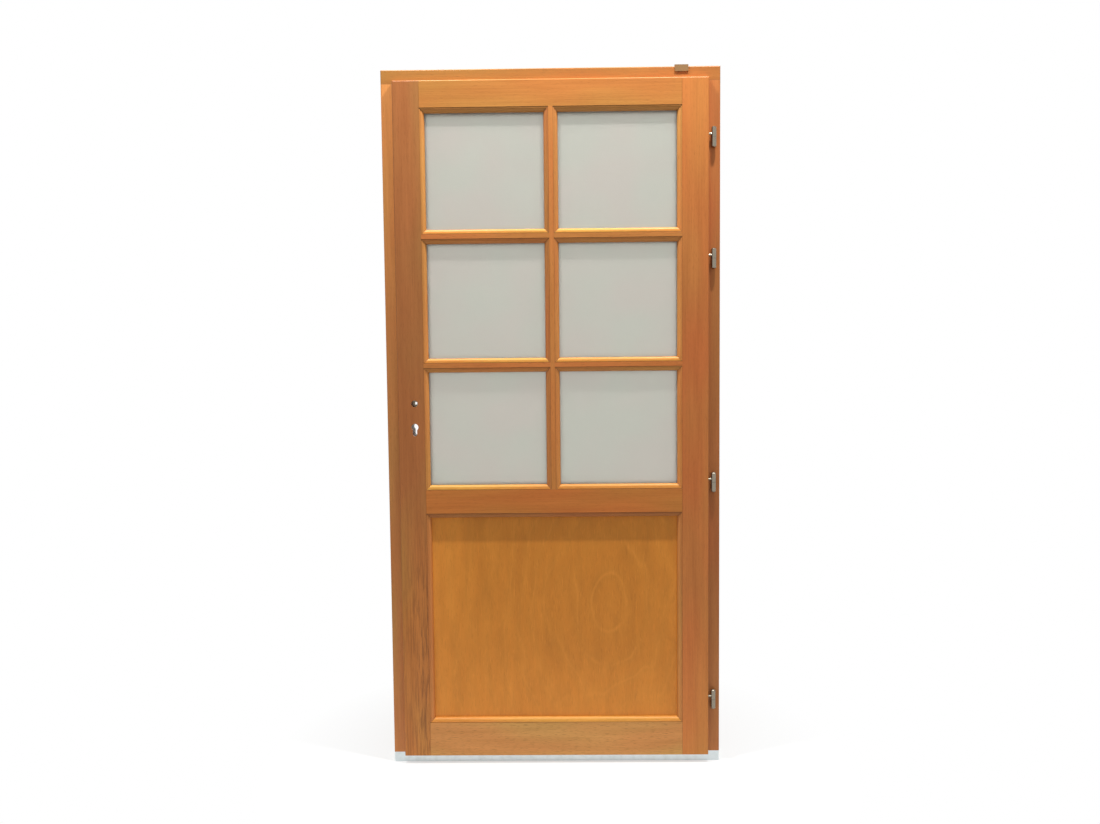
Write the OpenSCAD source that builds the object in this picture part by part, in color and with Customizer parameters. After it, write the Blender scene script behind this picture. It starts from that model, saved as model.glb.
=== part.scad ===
// Half-glazed timber back door hung in its own frame, drawn closed.
// Origin: middle of the threshold's underside. -Y is the room side, +Y outdoors,
// +X the hinge side, +Z up. All sizes in millimetres.

/* [Frame] */
// Overall width across both jambs
frame_w = 990; // [890:10:1190]
// Overall height, threshold underside to top of head
frame_h = 2070; // [2000:10:2300]
// Depth of jambs and head, room side to outdoors
frame_depth = 68; // [66:1:90]
// Width of a jamb at its rebate
jamb_w = 40; // [36:1:60]
// Height of the head at its rebate
head_h = 40; // [36:1:60]
// How far the stop stands past the rebate
stop_w = 15; // [14:1:20]
// Thickness of the stop
stop_t = 25; // [20:1:28]
// Chamfer on the stop's outdoor arris
stop_chamfer = 5; // [1:1:8]
// Length of the jamb's tenon in the head
jamb_tenon_l = 22; // [10:1:30]
// Diameter of the wall fixing holes in the jambs
fixing_d = 8; // [5:0.5:11]
// Distance from the middle of the strike plate down to the middle of the fixing holes
fixing_drop = 33; // [13:1:40]
// Distance between the outer pair of fixing holes
fixing_outer = 1440; // [1300:10:1520]
// Distance between the inner pair of fixing holes
fixing_inner = 520; // [480:10:560]
// Width of the lug that hooks over the head
lug_w = 39; // [20:1:60]
// Distance from the frame's outer edge to the middle of the lug
lug_inset = 113; // [95:1:195]
// How far the lug reaches down the face
lug_drop = 15; // [8:1:25]
// Thickness of the lug over the head
lug_top_t = 6; // [2:0.5:8]

/* [Threshold] */
// Height of the threshold under the jambs
threshold_h = 30; // [27:1:40]
// How far the threshold reaches past the frame outdoors
threshold_reach = 26; // [15:1:45]
// Height of the threshold's outdoor nose
nose_h = 12; // [9:1:16]
// Wall of the aluminium extrusion
extrusion_wall = 2.5; // [1.8:0.1:3]
// Thickness of a plastic end cap
end_cap_t = 2; // [1:0.5:4]

/* [Leaf] */
// Thickness of the leaf
leaf_t = 56; // [54:1:60]
// Thickness of the lip that covers the frame's edge
lip_t = 16; // [14:1:17]
// How far the lip covers the frame's face
lip_cover = 5; // [3:0.5:8]
// Gap between the lip and the frame's face
lip_gap = 1; // [0.5:0.1:1.5]
// Gap between the leaf's edge and the rebate
leaf_gap = 4; // [3:0.5:5]
// Gap between the leaf and the threshold
bottom_gap = 5; // [4:0.5:8]
// How far the lip hangs below the threshold's top
lip_drop = 6; // [2:1:12]
// Rounding of the leaf's outer arris
lip_round = 3; // [1:0.5:5]
// Face width of a stile
stile_w = 78; // [76:1:100]
// Face height of the top rail
top_rail_h = 78; // [70:1:110]
// Face height of the middle rail
mid_rail_h = 70; // [60:1:110]
// Face height of the bottom rail
bottom_rail_h = 102; // [90:1:140]
// Height of the glazed opening between the rails
glazing_h = 1120; // [1060:5:1130]
// Length of a rail's tenon in the stile
tenon_l = 40; // [25:1:50]
// Thickness of the tenons
tenon_t = 13; // [8:1:14]

/* [Glazing and panel] */
// Thickness of a glass sheet
glass_t = 4; // [3:1:5]
// Space between the two sheets of a unit
cavity_t = 10; // [6:1:12]
// Gap between a pane or panel and the wood round its edge
edge_gap = 3; // [1:0.5:4]
// Face width of a glazing bar between its beads
bar_face = 13.5; // [12:0.5:24]
// Length of a glazing bar's tenon in a stile or rail
bar_tenon_l = 12; // [6:1:20]
// Width of a bead
bead_w = 14; // [12:0.5:18]
// Depth of a bead
bead_d = 14; // [13:0.5:16]
// Radius of a bead's quarter round
bead_round = 10; // [6:0.5:10]
// Step between a bead's flat and its quarter round
bead_step = 1.5; // [0.5:0.5:2]
// How far a bead lies below the leaf's face
bead_sink = 1; // [0:0.5:3]
// Open joint at a bead's mitre
mitre_gap = 0.2; // [0.1:0.1:0.5]
// Width of the tongue that the glass lies against
tongue_w = 14; // [12:0.5:18]
// Chamfer on the tongue's outdoor arris
tongue_chamfer = 8; // [3:0.5:10]
// Width of a spacer frame's bar
spacer_w = 6.5; // [5:0.5:8]
// Length left free at each end of the weather bar
bar_end_gap = 10; // [6:1:30]
// How far the weather bar stands out of the leaf
weather_reach = 33; // [20:1:40]
// Height of the weather bar
weather_h = 45; // [30:1:60]
// Height of the weather bar above the leaf's body bottom
weather_lift = 5; // [2:1:10]

/* [Hinges] */
// Diameter of a knuckle
knuckle_d = 14; // [13:0.5:16]
// Length of one knuckle
knuckle_l = 30; // [24:1:40]
// Height of a knuckle's domed end
dome_h = 3; // [1:0.5:5]
// Diameter of the hinge pin
pin_d = 8; // [6:0.5:8]
// Running clearance round the pin
pin_clear = 0.05; // [0.02:0.01:0.1]
// Diameter of a screw-in stem
stem_d = 7; // [5:0.5:7.5]
// Depth of a stem in the wood
stem_l = 44; // [30:1:46]
// Distance from the frame's outer edge to the hinge axis
hinge_inset = 20; // [18:0.5:21]
// Distance from the leaf's ends to the end hinges
hinge_end = 170; // [120:5:220]
// Distance between the two upper hinges
hinge_pair = 350; // [200:10:400]
// Thickness of the washer between two knuckles
washer_t = 1; // [0.5:0.5:2]

/* [Lock] */
// Distance from the leaf's edge to the follower's axis
backset = 40; // [35:1:42]
// Distance from the follower down to the key cylinder
lock_centres = 70; // [70:1:85]
// Height of the follower's axis above the middle rail
handle_rise = 259; // [225:1:285]
// Side of the square spindle hole
spindle_sq = 8.1; // [7.1:0.1:9.1]
// Diameter of the handle hole in the stile
handle_hole_d = 20; // [20:1:24]
// Diameter of the round part of the cylinder hole in the stile
cylinder_hole_d = 21; // [19:0.5:24]
// Width of the tail of the cylinder hole in the stile
cylinder_tail_w = 13; // [12:0.5:15]
// Thickness of the lock case
case_t = 16; // [15:0.5:18]
// Depth of the lock case behind the faceplate
case_depth = 60; // [56:1:62]
// Length of the faceplate
plate_l = 235; // [225:1:260]
// Width of the faceplate
plate_w = 20; // [18:1:24]
// Thickness of the faceplate
plate_t = 3; // [2:0.5:4]
// Throw of the latch bolt
latch_throw = 12; // [8:0.5:12]
// Height of the latch bolt
latch_h = 24; // [22:1:28]
// Height of the deadbolt
deadbolt_h = 30; // [20:1:32]
// Throw of the deadbolt
deadbolt_throw = 20; // [12:1:20]
// Thickness of both bolts
bolt_t = 12; // [10:0.5:12]
// Radius of the follower
follower_r = 13; // [12:0.5:13.5]
// Distance from the follower's axis to the tip of its arm
arm_r = 19.5; // [18:0.5:20]
// Thickness of the strike plate
strike_t = 2; // [1.5:0.5:3]
// Thread diameter of the small wood screws
screw_d = 4; // [3:0.5:5]
// Length of the small wood screws
screw_l = 25; // [16:1:30]

/* [Hidden] */
$fn = 64;
pane_count = 6;
hinge_count = 4;

// Depths, room side to outdoors
frame_front_y = -frame_depth / 2;
frame_back_y = frame_depth / 2;
stop_y = frame_back_y - stop_t;
lip_back_y = frame_front_y - lip_gap;
leaf_front_y = lip_back_y - lip_t;
leaf_back_y = leaf_front_y + leaf_t;
glass_front_y = leaf_front_y + bead_sink + bead_d;
glass_back_y = glass_front_y + 2 * glass_t + cavity_t;
nose_y = frame_back_y + threshold_reach;
fixing_y = (frame_front_y + stop_y) / 2;

// Widths, from the middle outwards
frame_x = frame_w / 2;
rebate_x = frame_x - jamb_w;
stop_x = rebate_x - stop_w;
body_x = rebate_x - leaf_gap;
lip_x = rebate_x + lip_cover;
stile_x = lip_x - stile_w;

// Heights
head_z = frame_h - head_h;
head_stop_z = head_z - stop_w;
body_top_z = head_z - leaf_gap;
lip_top_z = head_z + lip_cover;
body_bottom_z = threshold_h + bottom_gap;
lip_bottom_z = threshold_h - lip_drop;
glazing_top_z = lip_top_z - top_rail_h;
glazing_bottom_z = glazing_top_z - glazing_h;
panel_top_z = glazing_bottom_z - mid_rail_h;
panel_bottom_z = lip_bottom_z + bottom_rail_h;

// Lug: it lies on the head from its ridge backwards and hooks over the face
lug_x = frame_x - lug_inset;
lug_reach = 22;
lug_ridge = 4;
lug_front_t = 3;
lug_edge_z = frame_h + lug_top_t - min(2, lug_top_t / 2);

// Threshold: a hollow front, a web under the seal and a thick nose
seal_web_w = 10;
nose_bevel = 2;
nose_wall = 6;
sloped_wall = 1.3 * extrusion_wall;

// Panes, numbered along the rows from the top left
row_h = (glazing_h - 2 * bar_face) / 3;
pane_w = stile_x - bar_face / 2;
function pane_x(i) = i % 2 == 0 ? -stile_x : bar_face / 2;
function pane_z(i) = glazing_top_z - row_h - floor(i / 2) * (row_h + bar_face);
bar_half = bar_face / 2 + tongue_w;
bar_zs = [for (k = [1, 2]) glazing_top_z - k * row_h - (k - 0.5) * bar_face];

// Joinery: tenons lie in front of the tongues, mortises are a little deeper
mortise_gap = 1;
tongue_root = 1;
tenon_y = glass_back_y - mortise_gap - tenon_t;
jamb_tenon_inner = 8;
jamb_tenon_outer = 10;
jamb_tenon_front = 20;
tenon_shoulder = 10;
bar_tenon_h = 8;
bar_stub_l = 5;
rail_tenons = [
    [glazing_top_z + tenon_shoulder, body_top_z - tenon_shoulder],
    [panel_top_z + tenon_shoulder, glazing_bottom_z - tenon_shoulder],
    [body_bottom_z + tenon_shoulder, panel_bottom_z - tenon_shoulder]
];

// Seals: a bulb that stops short of the leaf, on a barb in a groove
seal_clear = 0.3;
seal_groove_w = 3;
seal_groove_d = 6;
seal_bulb_w = 8;
frame_seal_x = stop_x + stop_w / 2 - 1;
frame_seal_z = head_stop_z + stop_w / 2 - 1;
threshold_seal_y = (lip_back_y + leaf_back_y) / 2 + 10;

// Weather bar
weather_nose_h = 8;
weather_top_t = 4;
weather_nick_r = 1.5;
drip_w = 4;

// Hinges
hinge_x = frame_x - hinge_inset;
hinge_y = (leaf_front_y + lip_back_y) / 2;
hinge_top_z = lip_top_z - hinge_end;
hinge_low_z = lip_bottom_z + hinge_end;
hinge_second_z = hinge_top_z - hinge_pair;
hinge_third_z = (hinge_second_z + hinge_low_z) / 2;
hinge_zs = [hinge_top_z, hinge_second_z, hinge_third_z, hinge_low_z];
stem_rise = 9;
pin_reach = knuckle_l - 8;

// Lock
edge_x = -body_x;
lock_x = edge_x + backset;
lock_y = (lip_back_y + leaf_back_y) / 2;
handle_z = glazing_bottom_z + handle_rise;
cylinder_z = handle_z - lock_centres;
plate_drop = 33;
plate_z = handle_z - plate_drop;
fixing_mid_z = plate_z - fixing_drop;
case_wall = 1.5;
case_clear = 0.25;
bolt_clear = 0.3;
case_front_x = edge_x + plate_t;
case_back_x = case_front_x + case_depth;
case_foot = 45;
case_crown = 51;
case_bottom_z = cylinder_z - case_foot;
case_top_z = handle_z + case_crown;
collar_r = 9.75;
collar_clear = 0.05;
arm_w = 7;
arm_t = 8;
latch_z = handle_z + follower_r + 1;
latch_l = 13;
latch_nose = 3;
latch_back_x = case_front_x + latch_l;
hook_x = lock_x + arm_w / 2 + bolt_clear;
hook_l = case_back_x - case_wall - 2 * bolt_clear - latch_throw - hook_x;
hook_z = handle_z + arm_r + arm_w / 2 + 1.5;
latch_lug_l = 4;
latch_lug_h = 8;
spring_r = 2.6;
spring_wire_r = 0.45;
spring_turns = 8;
spring_x = latch_back_x;
spring_l = case_back_x - case_wall - spring_x;
spring_lift = 4.5;
spring_z = latch_z + latch_h + spring_lift;
deadbolt_rise = 26;
deadbolt_tail = 16;
deadbolt_z = cylinder_z + deadbolt_rise - deadbolt_h / 2;
deadbolt_back_x = lock_x + deadbolt_tail;
cam_notch_w = 16;
cam_notch_h = 6;
euro_round_d = 17.5;
euro_tail_w = 10.6;
euro_h = 33.5;
euro_hole_h = euro_h + 4;
strike_x = -rebate_x;
strike_w = 24;
strike_clear = 1.5;
plate_screw_end = 9;
screw_head_d = 2 * screw_d;

WOOD = "#bd7a43";
BEAD_WOOD = "#cf8b46";
PANEL_WOOD = "#bb7a33";
STEEL = "#b9b9b4";
ALUMINIUM = "#e3eaec";
SEAL = "#3b3733";
GLASS = [0.77, 0.78, 0.73, 0.6];

// Shared shapes

module box(low, high) {
    translate(low) cube(high - low);
}

// Draws a section given in (y, z) from x0 to x1
module along_x(x0, x1) {
    translate([x0, 0, 0]) rotate([90, 0, 90]) linear_extrude(x1 - x0) children();
}

// Draws a section given in (x, z) from y0 to y1
module along_y(y0, y1) {
    translate([0, y1, 0]) rotate([90, 0, 0]) linear_extrude(y1 - y0) children();
}

// Draws a section given in (x, y) from z0 to z1
module along_z(z0, z1) {
    translate([0, 0, z0]) linear_extrude(z1 - z0) children();
}

// Draws its children on both sides of the middle
module both_sides() {
    children();
    mirror([1, 0, 0]) children();
}

// What is cut away to round the corner at the origin of a section that fills x < 0, y > 0
module arris(r) {
    difference() {
        translate([-r, -1]) square([r + 1, r + 1]);
        translate([-r, r]) circle(r);
    }
}

// A wood screw that points along +X, its countersunk head flush with x = 0
module wood_screw() {
    rotate([0, 90, 0]) {
        cylinder(h = screw_d / 2, r1 = screw_head_d / 2, r2 = screw_d / 2);
        cylinder(h = screw_l, d = screw_d);
    }
}

// Frame

// Right-hand jamb, seen from above
module jamb_section() {
    difference() {
        polygon([
            [rebate_x, frame_front_y], [frame_x, frame_front_y], [frame_x, frame_back_y],
            [stop_x + stop_chamfer, frame_back_y], [stop_x, frame_back_y - stop_chamfer],
            [stop_x, stop_y], [rebate_x, stop_y]
        ]);
        translate([frame_seal_x - seal_groove_w / 2, stop_y - 1])
            square([seal_groove_w, seal_groove_d + 1]);
        translate([frame_x, frame_front_y]) arris(lip_round);
    }
}

module jamb_tenon(gap) {
    box([rebate_x + jamb_tenon_inner, frame_front_y + jamb_tenon_front, head_z - 1],
        [frame_x - jamb_tenon_outer, stop_y, head_z + jamb_tenon_l + gap]);
}

module jamb_blank() {
    difference() {
        union() {
            along_z(0, head_z) jamb_section();
            jamb_tenon(0);
        }
        along_x(stop_x - 1, frame_x + 1) threshold_outline();
        for (d = [fixing_outer, fixing_inner], side = [-0.5, 0.5])
            translate([rebate_x - 1, fixing_y, fixing_mid_z + side * d])
                rotate([0, 90, 0]) cylinder(h = jamb_w + 2, d = fixing_d);
    }
}

module jamb_left() {
    color(WOOD) difference() {
        mirror([1, 0, 0]) jamb_blank();
        strike_recess();
        strike_pocket(latch_z, latch_h, latch_throw);
        strike_pocket(deadbolt_z, deadbolt_h, deadbolt_throw);
        strike_screws_at() wood_screw();
    }
}

module jamb_right() {
    color(WOOD) difference() {
        jamb_blank();
        for (z = hinge_zs) frame_stem(z);
    }
}

module head() {
    color(WOOD) difference() {
        along_x(-frame_x, frame_x) difference() {
            translate([frame_front_y, head_z]) square([frame_depth, head_h]);
            translate([frame_front_y, frame_h]) rotate(180) arris(lip_round);
        }
        both_sides() jamb_tenon(mortise_gap);
        both_sides() head_end_arris();
    }
    color(WOOD) head_stop();
}

module head_end_arris() {
    along_z(head_z - 1, frame_h + 1) translate([frame_x, frame_front_y]) arris(lip_round);
}

// The head's stop runs between the jambs' stops
module head_stop() {
    along_x(-stop_x, stop_x) difference() {
        polygon([
            [stop_y, head_stop_z], [frame_back_y - stop_chamfer, head_stop_z],
            [frame_back_y, head_stop_z + stop_chamfer], [frame_back_y, head_z], [stop_y, head_z]
        ]);
        translate([stop_y - 1, frame_seal_z - seal_groove_w / 2])
            square([seal_groove_d + 1, seal_groove_w]);
    }
}

module head_lug() {
    color("#87643a") along_x(lug_x - lug_w / 2, lug_x + lug_w / 2) polygon([
        [frame_front_y, frame_h - lug_drop], [frame_front_y, frame_h],
        [frame_front_y + lug_reach, frame_h], [frame_front_y + lug_reach, lug_edge_z],
        [frame_front_y + lug_ridge, frame_h + lug_top_t], [frame_front_y - lug_front_t, lug_edge_z],
        [frame_front_y - lug_front_t, frame_h - lug_drop]
    ]);
}

// Threshold

module threshold_outline() {
    polygon([
        [frame_front_y, 0], [nose_y, 0], [nose_y, nose_h - nose_bevel], [nose_y - nose_bevel, nose_h],
        [stop_y, threshold_h], [frame_front_y, threshold_h]
    ]);
}

module threshold_section() {
    front_y = frame_front_y + extrusion_wall;
    slope = (threshold_h - nose_h) / (nose_y - nose_bevel - stop_y);
    inner_nose_z = nose_h - sloped_wall + (nose_wall - nose_bevel) * slope;
    difference() {
        threshold_outline();
        translate([front_y, extrusion_wall])
            square([threshold_seal_y - seal_web_w / 2 - front_y, threshold_h - 2 * extrusion_wall]);
        polygon([
            [stop_y, extrusion_wall], [nose_y - nose_wall, extrusion_wall],
            [nose_y - nose_wall, inner_nose_z], [stop_y, threshold_h - sloped_wall]
        ]);
        translate([threshold_seal_y - seal_groove_w / 2, threshold_h - seal_groove_d])
            square([seal_groove_w, seal_groove_d + 1]);
    }
}

module threshold() {
    color(ALUMINIUM) along_x(-frame_x + end_cap_t, frame_x - end_cap_t) threshold_section();
}

module threshold_cap(side) {
    color("#dfe6ea") mirror([side < 0 ? 1 : 0, 0, 0])
        along_x(frame_x - end_cap_t, frame_x) threshold_outline();
}

// Seals

// A seal's section: its bulb stands on v = 0 to the given height, its barb fills the groove below
module seal_section(height) {
    bulb_r = height / 2;
    translate([-seal_bulb_w / 2 + bulb_r, 0]) square([seal_bulb_w - 2 * bulb_r, height]);
    for (side = [-1, 1]) translate([side * (seal_bulb_w / 2 - bulb_r), bulb_r]) circle(bulb_r);
    translate([-seal_groove_w / 2, -seal_groove_d]) square([seal_groove_w, seal_groove_d + bulb_r]);
}

module frame_seal() {
    height = stop_y - leaf_back_y - seal_clear;
    color(SEAL) both_sides() along_z(threshold_h, frame_seal_z - seal_bulb_w / 2 - seal_clear)
        translate([frame_seal_x, stop_y]) rotate(180) seal_section(height);
    color(SEAL) along_x(-stop_x, stop_x)
        translate([stop_y, frame_seal_z]) rotate(90) seal_section(height);
}

module threshold_seal() {
    color(SEAL) along_x(-stop_x, stop_x)
        translate([threshold_seal_y, threshold_h]) seal_section(bottom_gap - seal_clear);
}

// Strike

module strike_recess() {
    box([strike_x - strike_t, lock_y - strike_w / 2, plate_z - plate_l / 2],
        [strike_x + 1, lock_y + strike_w / 2, plate_z + plate_l / 2]);
}

// Room for a bolt in the jamb
module strike_pocket(z, h, throw) {
    box([edge_x - throw - strike_clear, lock_y - bolt_t / 2 - strike_clear, z - strike_clear],
        [strike_x + 1, lock_y + bolt_t / 2 + strike_clear, z + h + strike_clear]);
}

module strike_screws_at() {
    for (side = [-1, 1])
        translate([strike_x, lock_y, plate_z + side * (plate_l / 2 - plate_screw_end)])
            mirror([1, 0, 0]) children();
}

module strike_plate() {
    color(STEEL) difference() {
        box([strike_x - strike_t, lock_y - strike_w / 2, plate_z - plate_l / 2],
            [strike_x, lock_y + strike_w / 2, plate_z + plate_l / 2]);
        strike_pocket(latch_z, latch_h, latch_throw);
        strike_pocket(deadbolt_z, deadbolt_h, deadbolt_throw);
        strike_screws_at() wood_screw();
    }
}

module strike_screws() {
    color(STEEL) strike_screws_at() wood_screw();
}

// Hinges

// A plain knuckle that stands on the origin, domed at its top
module knuckle() {
    r = knuckle_d / 2;
    dome_r = (r * r + dome_h * dome_h) / (2 * dome_h);
    rotate_extrude() intersection() {
        square([r, knuckle_l]);
        translate([0, knuckle_l - dome_r]) union() {
            circle(dome_r);
            translate([0, -knuckle_l]) square([r, knuckle_l + dome_r - dome_h]);
        }
    }
}

module frame_stem(z) {
    translate([hinge_x, hinge_y, z - knuckle_l / 2]) rotate([-90, 0, 0])
        translate([0, 0, knuckle_d / 2 - 1])
            cylinder(h = frame_front_y - hinge_y + stem_l - knuckle_d / 2 + 1, d = stem_d);
}

module leaf_stem(z) {
    translate([hinge_x - knuckle_d / 2 + 1, hinge_y, z + stem_rise]) rotate([0, -90, 0])
        cylinder(h = hinge_x - knuckle_d / 2 + 1 - lip_x + stem_l, d = stem_d);
}

module hinge_frame_knuckle(i) {
    z = hinge_zs[i];
    color(STEEL) difference() {
        union() {
            translate([hinge_x, hinge_y, z - washer_t / 2]) mirror([0, 0, 1]) knuckle();
            frame_stem(z);
        }
        hinge_pin(z, 0);
    }
}

module hinge_leaf_knuckle(i) {
    z = hinge_zs[i];
    color(STEEL) difference() {
        union() {
            translate([hinge_x, hinge_y, z + washer_t / 2]) knuckle();
            leaf_stem(z);
        }
        hinge_pin(z, pin_clear);
    }
}

module hinge_pin(z, clear) {
    translate([hinge_x, hinge_y, z - pin_reach])
        cylinder(h = 2 * pin_reach + 10 * clear, d = pin_d + 2 * clear);
}

module hinge_pins() {
    color("#a8a8a2") for (z = hinge_zs) hinge_pin(z, 0);
}

module hinge_washers() {
    color("#8d8a80") for (z = hinge_zs) translate([hinge_x, hinge_y, z - washer_t / 2]) difference() {
        cylinder(h = washer_t, d = knuckle_d);
        translate([0, 0, -1]) cylinder(h = washer_t + 2, d = pin_d + 2 * pin_clear);
    }
}

// Leaf frame

// Tongue behind the glass: u runs into the opening from its root in the wood, v outdoors from the glass
module tongue_section() {
    tongue_t = leaf_back_y - glass_back_y;
    polygon([
        [-tongue_root, 0], [tongue_w, 0], [tongue_w, tongue_t - tongue_chamfer],
        [tongue_w - tongue_chamfer, tongue_t], [-tongue_root, tongue_t]
    ]);
}

// Right-hand stile, seen from above
module stile_section() {
    difference() {
        polygon([
            [stile_x, leaf_front_y], [lip_x, leaf_front_y], [lip_x, lip_back_y],
            [body_x, lip_back_y], [body_x, leaf_back_y], [stile_x, leaf_back_y]
        ]);
        translate([lip_x, leaf_front_y]) arris(lip_round);
    }
}

module stile_tongue_section() {
    translate([stile_x, glass_back_y]) mirror([1, 0]) tongue_section();
}

// Cuts the leaf's ends: the rebate over the lip, and the rounded arris
module leaf_end_cuts() {
    far_x = lip_x + 1;
    box([-far_x, lip_back_y, body_top_z], [far_x, leaf_back_y + 1, lip_top_z + 1]);
    box([-far_x, lip_back_y, lip_bottom_z - 1], [far_x, leaf_back_y + 1, body_bottom_z]);
    along_x(-far_x, far_x) translate([leaf_front_y, lip_top_z]) rotate(180) arris(lip_round);
    along_x(-far_x, far_x) translate([leaf_front_y, lip_bottom_z]) rotate(-90) arris(lip_round);
}

module rail_tenon(i, gap) {
    t = rail_tenons[i];
    box([stile_x - 1, tenon_y, t[0]], [stile_x + tenon_l + gap, tenon_y + tenon_t, t[1]]);
}

module bar_tenon(z, gap) {
    box([stile_x - 1, tenon_y, z - bar_tenon_h / 2],
        [stile_x + bar_tenon_l + gap, tenon_y + tenon_t, z + bar_tenon_h / 2]);
}

module stile_blank() {
    difference() {
        union() {
            along_z(lip_bottom_z, lip_top_z) stile_section();
            along_z(lip_bottom_z, lip_top_z) stile_tongue_section();
        }
        leaf_end_cuts();
        for (i = [0:2]) rail_tenon(i, mortise_gap);
        for (z = bar_zs) bar_tenon(z, mortise_gap);
    }
}

module stile_hinge() {
    color(WOOD) difference() {
        stile_blank();
        for (z = hinge_zs) leaf_stem(z);
    }
}

module stile_lock() {
    color(WOOD) difference() {
        mirror([1, 0, 0]) stile_blank();
        lock_mortise();
        along_y(leaf_front_y - 1, leaf_back_y + 1) {
            translate([lock_x, handle_z]) circle(d = handle_hole_d);
            keyhole(cylinder_hole_d, cylinder_tail_w, euro_hole_h);
        }
        faceplate_screws_at() wood_screw();
    }
}

// Key cylinder outline: round above, a narrower tail with a round end below
module keyhole(round_d, tail_w, height) {
    tail_l = height - round_d / 2 - tail_w / 2;
    translate([lock_x, cylinder_z]) {
        circle(d = round_d);
        translate([-tail_w / 2, -tail_l]) square([tail_w, tail_l]);
        translate([0, -tail_l]) circle(d = tail_w);
    }
}

module rail(i, z0, z1, tongue_up, tongue_down) {
    difference() {
        union() {
            along_x(-stile_x, stile_x) {
                translate([leaf_front_y, z0]) square([leaf_t, z1 - z0]);
                if (tongue_up) translate([glass_back_y, z1]) rail_tongue_section();
                if (tongue_down) translate([glass_back_y, z0]) mirror([0, 1]) rail_tongue_section();
            }
            both_sides() rail_tenon(i, 0);
        }
        both_sides() along_z(z0 - tongue_w - 1, z1 + tongue_w + 1) stile_tongue_section();
        leaf_end_cuts();
        if (tongue_down) bar_end_tenon(z0, 1, mortise_gap);
        if (tongue_up) bar_end_tenon(z1, -1, mortise_gap);
    }
}

// Tongue on a rail's upper edge, in (y, z)
module rail_tongue_section() {
    mirror([1, -1]) tongue_section();
}

// Tenon of the vertical glazing bar in a rail whose edge is at z
module bar_end_tenon(z, up, gap) {
    if (z > panel_top_z + 1)
        translate([-bar_tenon_h / 2, tenon_y, up > 0 ? z - 1 : z - bar_tenon_l - gap])
            cube([bar_tenon_h, tenon_t, bar_tenon_l + gap + 1]);
}

module rail_top() {
    color(WOOD) rail(0, glazing_top_z, lip_top_z, false, true);
}

module rail_middle() {
    color(WOOD) rail(1, panel_top_z, glazing_bottom_z, true, true);
}

module rail_bottom() {
    color(WOOD) rail(2, lip_bottom_z, panel_bottom_z, true, false);
}

// Glazing bars

// Section across a bar: u is across, v outdoors from the leaf's face
module bar_section() {
    web_t = glass_back_y - leaf_front_y;
    translate([-bar_face / 2, 0]) square([bar_face, leaf_t]);
    for (side = [0, 1]) mirror([side, 0]) translate([bar_face / 2, web_t]) tongue_section();
}

module bar_vertical() {
    color(WOOD) difference() {
        union() {
            along_z(glazing_bottom_z, glazing_top_z) translate([0, leaf_front_y]) bar_section();
            bar_end_tenon(glazing_top_z, 1, 0);
            bar_end_tenon(glazing_bottom_z, -1, 0);
        }
        along_x(-bar_half - 1, bar_half + 1) {
            translate([glass_back_y, glazing_bottom_z]) rail_tongue_section();
            translate([glass_back_y, glazing_top_z]) mirror([0, 1]) rail_tongue_section();
        }
        both_sides() for (z = bar_zs) bar_stub(z);
        both_sides() for (z = bar_zs) along_x(bar_face / 2, bar_half + 1) horizontal_bar_section(z);
    }
}

// Small tenon of a horizontal bar in the vertical one
module bar_stub(z) {
    box([bar_face / 2 - bar_stub_l, tenon_y, z - bar_tenon_h / 2],
        [bar_face / 2 + 1, tenon_y + tenon_t, z + bar_tenon_h / 2]);
}

module horizontal_bar_section(z) {
    translate([leaf_front_y, z]) mirror([1, -1]) bar_section();
}

module horizontal_bar(z) {
    difference() {
        union() {
            along_x(bar_face / 2, stile_x) horizontal_bar_section(z);
            bar_tenon(z, 0);
            bar_stub(z);
        }
        along_z(z - bar_half - 1, z + bar_half + 1) stile_tongue_section();
    }
}

module bar_upper_left() {
    color(WOOD) mirror([1, 0, 0]) horizontal_bar(bar_zs[0]);
}

module bar_upper_right() {
    color(WOOD) horizontal_bar(bar_zs[0]);
}

module bar_lower_left() {
    color(WOOD) mirror([1, 0, 0]) horizontal_bar(bar_zs[1]);
}

module bar_lower_right() {
    color(WOOD) horizontal_bar(bar_zs[1]);
}

// Beads, glass and panel

// Bead: u runs from the wood to the sight line, v from the glass to the room
module bead_section() {
    sight_h = bead_d - bead_step - bead_round;
    square([bead_w, sight_h]);
    square([bead_w - bead_round, bead_d]);
    translate([bead_w - bead_round, sight_h]) intersection() {
        circle(bead_round);
        square(bead_round);
    }
}

// Mitred end cuts: a trapezium along (0, 0) to (l, 0), as wide as a bead
module mitre_outline(l) {
    polygon([
        [mitre_gap, 0], [l - mitre_gap, 0], [l - bead_w - mitre_gap, bead_w], [bead_w + mitre_gap, bead_w]
    ]);
}

// Lower or upper bead of an opening
module flat_bead(x, z, l, up) {
    translate([x, glass_front_y, z]) mirror([0, 0, up ? 0 : 1]) intersection() {
        along_x(0, l) rotate(90) bead_section();
        along_y(-bead_d - 1, 1) mitre_outline(l);
    }
}

// Left or right bead of an opening
module upright_bead(x, z, l, right) {
    translate([x, glass_front_y, z]) mirror([right ? 0 : 1, 0, 0]) intersection() {
        along_z(0, l) mirror([0, 1]) bead_section();
        along_y(-bead_d - 1, 1) mirror([1, -1]) mitre_outline(l);
    }
}

module bead_set(x, z, w, h) {
    color(BEAD_WOOD) {
        flat_bead(x, z, w, true);
        flat_bead(x, z + h, w, false);
        upright_bead(x, z, h, true);
        upright_bead(x + w, z, h, false);
    }
}

module glazing_beads(i) {
    bead_set(pane_x(i), pane_z(i), pane_w, row_h);
}

module panel_beads() {
    bead_set(-stile_x, panel_bottom_z, 2 * stile_x, panel_top_z - panel_bottom_z);
}

// A flat sheet in an opening, clear of the wood round it
module sheet(x, z, w, h, inset, y0, y1) {
    box([x + inset, y0, z + inset], [x + w - inset, y1, z + h - inset]);
}

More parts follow.
